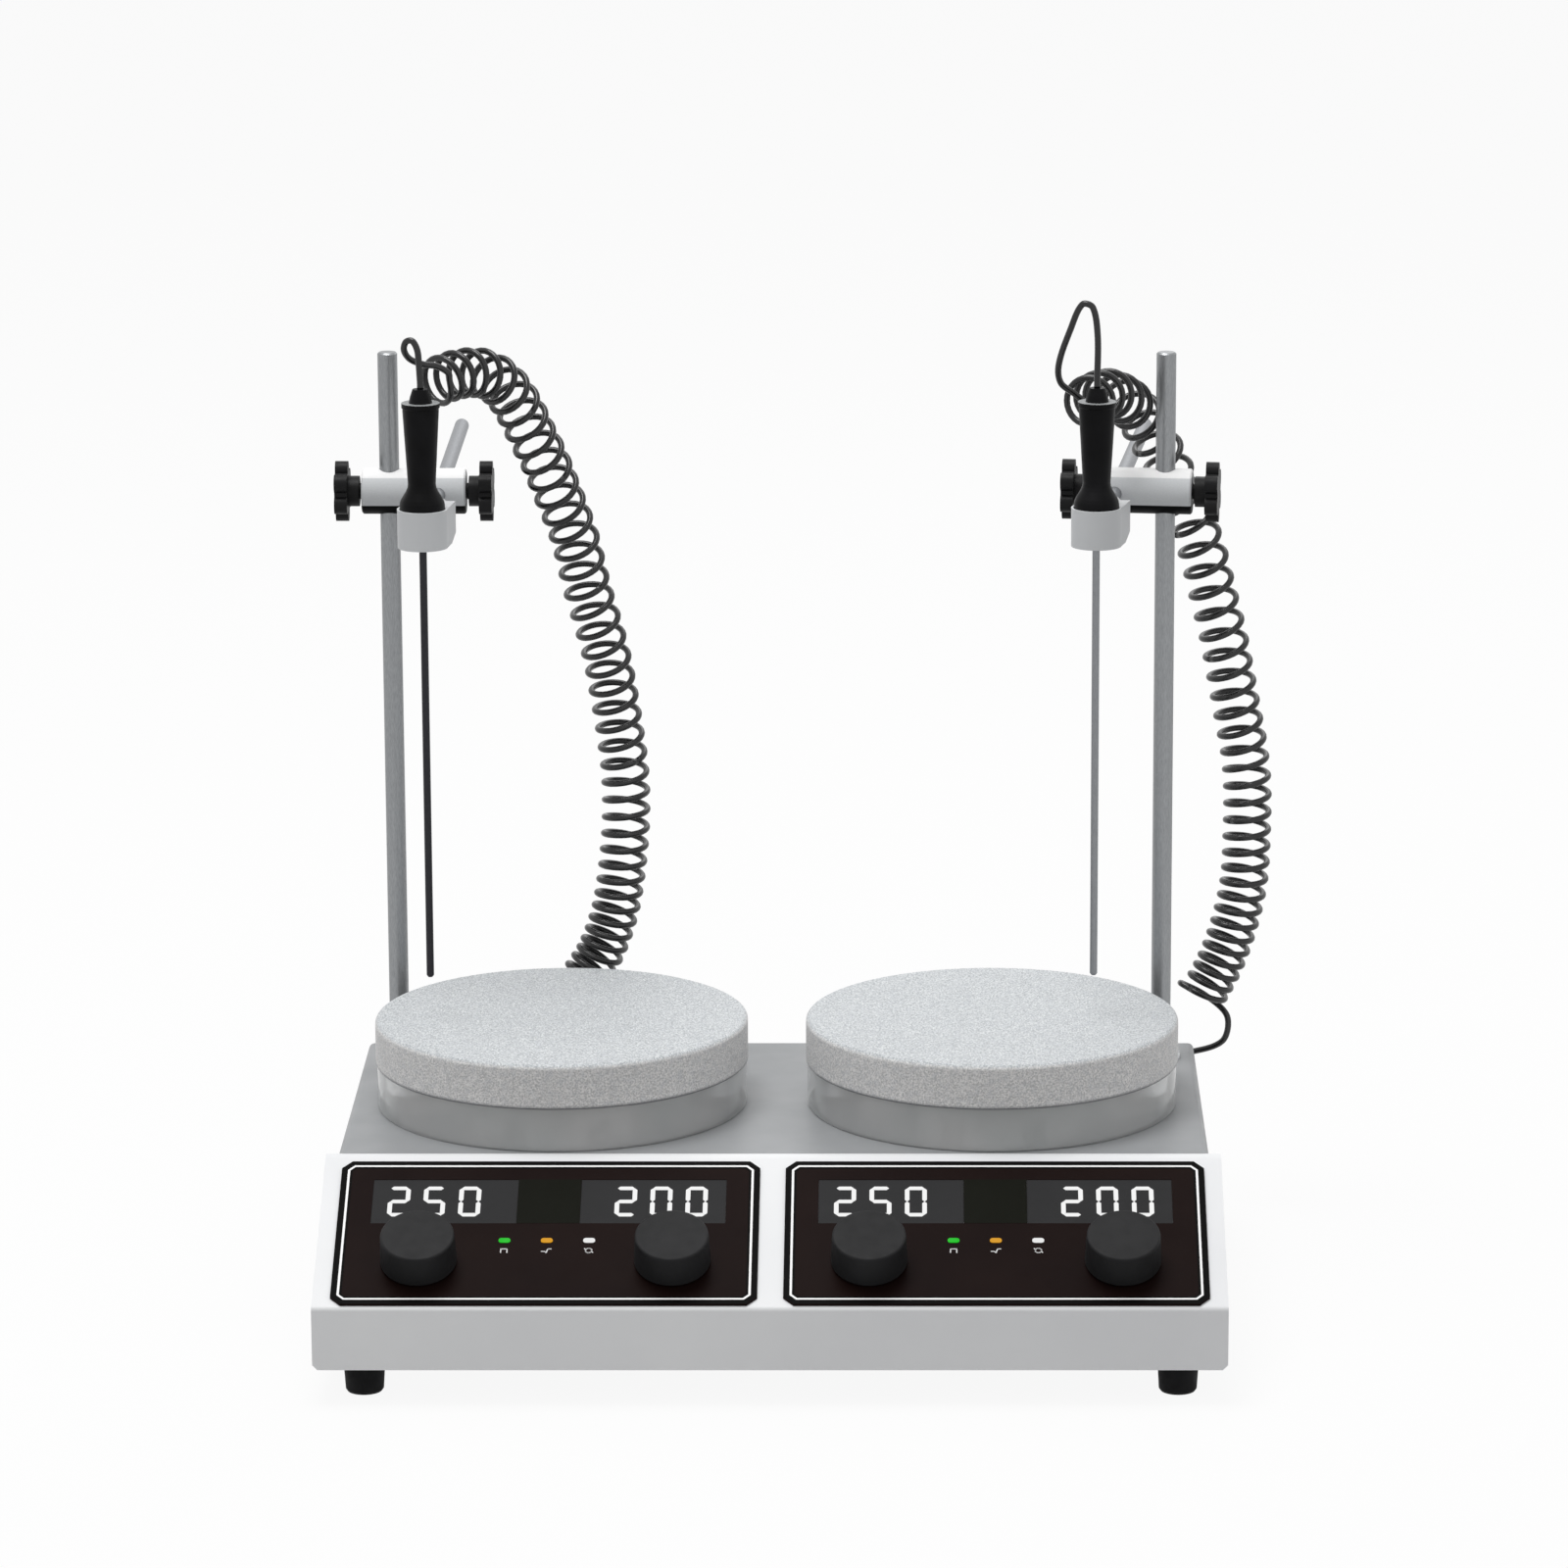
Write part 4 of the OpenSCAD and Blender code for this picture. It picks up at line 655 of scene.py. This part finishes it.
# Level of the printed film's marks above its face, and how thick they are
PRINT_LIFT = 0.02
PRINT_T = 0.06
# The two black borders and the white line between them, by their distances from a panel's edge
BORDERS = ((0.15, 2.3), (3.5, 4.3))
WHITE_LINE = (2.45, 3.35)
# How much a corner's cut shrinks for each step inwards, and the strip's clearance to the windows
CORNER_SHRINK = 0.586
STRIP_GAP = 0.1
# The marks below the lamps: how far down, and the width of their strokes and of their tips
MARK_DROP = 5.7
MARK_STROKE = 0.45
MARK_TIP = 0.4


def on_slope(x, s, n):
    """A point on the slope: across, upwards from the crease, and out from the sheet"""
    return Vector((x, Y_FRONT + s * math.cos(SLOPE) - n * math.sin(SLOPE),
                   Z_CREASE + s * math.sin(SLOPE) + n * math.cos(SLOPE))) * MM


def slab(name, outlines, low, high):
    """Thin solids on the slope: each outline is a list of points, or an outer and an inner list"""
    verts, faces = [], []
    for outline in outlines:
        rings = outline if isinstance(outline[0][0], (list, tuple)) else [outline]
        n = len(rings[0])
        base = len(verts)
        for level in (low, high):
            for ring in rings:
                verts += [on_slope(x, s, level) for x, s in ring]
        if len(rings) == 1:
            faces.append([base + i for i in reversed(range(n))])
            faces.append([base + n + i for i in range(n)])
            faces += [[base + i, base + (i + 1) % n, base + n + (i + 1) % n, base + n + i] for i in range(n)]
            continue
        for i in range(n):
            j = (i + 1) % n
            faces.append([base + i, base + n + i, base + n + j, base + j])
            faces.append([base + 2 * n + i, base + 2 * n + j, base + 3 * n + j, base + 3 * n + i])
            faces.append([base + i, base + j, base + 2 * n + j, base + 2 * n + i])
            faces.append([base + n + j, base + n + i, base + 3 * n + i, base + 3 * n + j])
    return mesh_object(name, verts, faces, smooth=False)


def octagon(cx, cs, w, h, c):
    """A rectangle with cut corners"""
    x, y = w / 2, h / 2
    corners = [(-x + c, -y), (x - c, -y), (x, -y + c), (x, y - c),
               (x - c, y), (-x + c, y), (-x, y - c), (-x, -y + c)]
    return [(cx + a, cs + b) for a, b in corners]


def panel_band(centre, inset_0, inset_1):
    """A band round a panel between two insets from its edge"""
    rings = []
    middle = PANEL_S + PANEL_L / 2
    for inset in (inset_0, inset_1):
        chamfer = PANEL_CHAMFER - CORNER_SHRINK * inset
        rings.append(octagon(centre, middle, PANEL_W - 2 * inset, PANEL_L - 2 * inset, chamfer))
    return rings


def stroke(x0, s0, x1, s1, w=MARK_STROKE):
    """A straight stroke of a mark"""
    d = Vector((x1 - x0, s1 - s0)).normalized() * w / 2
    n = Vector((-d.y, d.x))
    return [(x0 - d.x - n.x, s0 - d.y - n.y), (x1 + d.x - n.x, s1 + d.y - n.y),
            (x1 + d.x + n.x, s1 + d.y + n.y), (x0 - d.x + n.x, s0 - d.y + n.y)]


def strokes(x, s, corners):
    """Straight strokes from corner to corner of a mark, given from its centre"""
    return [stroke(x + a, s + b, x + c, s + d) for (a, b), (c, d) in zip(corners, corners[1:])]


def bent_stroke(x, s, r, a0, a1, n=8):
    """An arc of a mark, as short straight strokes"""
    angles = [math.radians(a0 + (a1 - a0) * i / n) for i in range(n + 1)]
    return strokes(x, s, [(r * math.cos(a), r * math.sin(a)) for a in angles])


def heat_mark(x, s):
    return strokes(x, s, [(-1.2, -1.1), (-1.2, 0.9), (1.2, 0.9), (1.2, -1.1)])


def speed_mark(x, s):
    return strokes(x, s, [(-1.8, -0.5), (-0.7, -0.5), (0, -1.2), (0.6, 0.9), (1.8, 0.9)])


def turn_mark(x, s):
    tips = [stroke(x + a * 1.6, s - a * 1.1, x + a * 1.15, s - a * 0.35, MARK_TIP) for a in (-1, 1)]
    return bent_stroke(x, s, 1.25, 20, 160) + bent_stroke(x, s, 1.25, 200, 340) + tips


def make_panel_prints():
    """The printed lines and marks on the two control panels"""
    low = PANEL_T + PRINT_LIFT
    high = low + PRINT_T
    centres = (-PANEL_X, PANEL_X)
    mark_s = LED_S - MARK_DROP
    strip_s = WINDOW_S + WINDOW_H / 2
    bands = [panel_band(c, *insets) for insets in BORDERS for c in centres]
    strips = [octagon(c, strip_s, WINDOW_GAP - STRIP_GAP, WINDOW_H, STRIP_GAP) for c in centres]
    signs = []
    for c in centres:
        signs += heat_mark(c - LED_PITCH, mark_s) + speed_mark(c, mark_s) + turn_mark(c + LED_PITCH, mark_s)
    border = slab("panel_borders", bands, low, high)
    line = slab("panel_lines", [panel_band(c, *WHITE_LINE) for c in centres], low, high)
    strip = slab("display_strips", strips, low, high)
    marks = slab("panel_marks", signs, low, high)
    inks = {
        border: plastic("border_ink", "#050404", "#080707", 0.4, 0.001, 0.03),
        line: plastic("line_ink", "#ffffff", "#fbfbfb", 0.4, 0.003),
        strip: plastic("strip_ink", "#14150f", "#161711", 0.4, 0.001, 0.03),
        marks: plastic("mark_ink", "#e6e6e6", "#dcdcdc", 0.4, 0.003),
    }
    for obj, ink in inks.items():
        dress(obj, ink)
        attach(obj, "root")


make_panel_prints()

# The floor: half its width in metres, its grey under soft light, and how brightly and how far it glows
FLOOR_HALF = 6
FLOOR_GREY = 0.45
FLOOR_GLOW = 1.08
FLOOR_SHARE = 0.85
# The world's soft light on the object
SOFT_LIGHT = 0.5
# Round lamps: their width in metres, and each one's place, target and power
LIGHT_SIZE = 1.2
LIGHTS = {
    "key_light": ((-0.35, -0.1, 2.3), (0, 0, 0.1), 28),
    "fill_light": ((0.9, -1.8, 0.9), (0, 0, 0.15), 1),
    "back_light": ((0.4, 1.6, 1.5), (0, 0, 0.15), 5),
}


def any_ray(tree, path):
    """1 for a ray from the camera, a mirror or a glass, and 0 for soft light"""
    total = path.outputs["Is Camera Ray"]
    for name in ("Is Glossy Ray", "Is Transmission Ray"):
        node = tree.nodes.new("ShaderNodeMath")
        node.operation = "MAXIMUM"
        tree.links.new(total, node.inputs[0])
        tree.links.new(path.outputs[name], node.inputs[1])
        total = node.outputs[0]
    return total


def make_floor():
    """A plain white floor that fades into the background but keeps the object's shadow"""
    corners = [(x * FLOOR_HALF, y * FLOOR_HALF, 0) for x, y in ((-1, -1), (1, -1), (1, 1), (-1, 1))]
    floor = mesh_object("floor", corners, [(0, 1, 2, 3)], smooth=False)
    material = bpy.data.materials.new("floor")
    material.use_nodes = True
    tree = material.node_tree
    tree.nodes.clear()
    out = tree.nodes.new("ShaderNodeOutputMaterial")
    matt = tree.nodes.new("ShaderNodeBsdfDiffuse")
    matt.inputs["Color"].default_value = (FLOOR_GREY, FLOOR_GREY, FLOOR_GREY, 1)
    glow = tree.nodes.new("ShaderNodeEmission")
    glow.inputs["Strength"].default_value = FLOOR_GLOW
    path = tree.nodes.new("ShaderNodeLightPath")
    share = tree.nodes.new("ShaderNodeMath")
    share.operation = "MULTIPLY"
    share.inputs[1].default_value = FLOOR_SHARE
    mix = tree.nodes.new("ShaderNodeMixShader")
    tree.links.new(any_ray(tree, path), share.inputs[0])
    tree.links.new(share.outputs[0], mix.inputs[0])
    tree.links.new(matt.outputs[0], mix.inputs[1])
    tree.links.new(glow.outputs[0], mix.inputs[2])
    tree.links.new(mix.outputs[0], out.inputs["Surface"])
    dress(floor, material)


def make_world():
    """White wherever it is seen or mirrored, and a gentle grey light elsewhere"""
    world = bpy.data.worlds.new("studio")
    world.use_nodes = True
    tree = world.node_tree
    background = tree.nodes["Background"]
    path = tree.nodes.new("ShaderNodeLightPath")
    level = tree.nodes.new("ShaderNodeMapRange")
    level.inputs["To Min"].default_value = SOFT_LIGHT
    level.inputs["To Max"].default_value = 1.0
    tree.links.new(any_ray(tree, path), level.inputs["Value"])
    tree.links.new(level.outputs["Result"], background.inputs["Strength"])
    background.inputs["Color"].default_value = (1, 1, 1, 1)
    bpy.context.scene.world = world


def make_light(name, place, target, power):
    data = bpy.data.lights.new(name, "AREA")
    data.shape = "DISK"
    data.size = LIGHT_SIZE
    data.energy = power
    lamp_object = bpy.data.objects.new(name, data)
    lamp_object.location = place
    lamp_object.rotation_euler = (Vector(target) - Vector(place)).to_track_quat("-Z", "Y").to_euler()
    bpy.context.scene.collection.objects.link(lamp_object)


make_floor()
make_world()
for name, (place, target, power) in LIGHTS.items():
    make_light(name, place, target, power)
bpy.context.scene.view_settings.view_transform = "Standard"
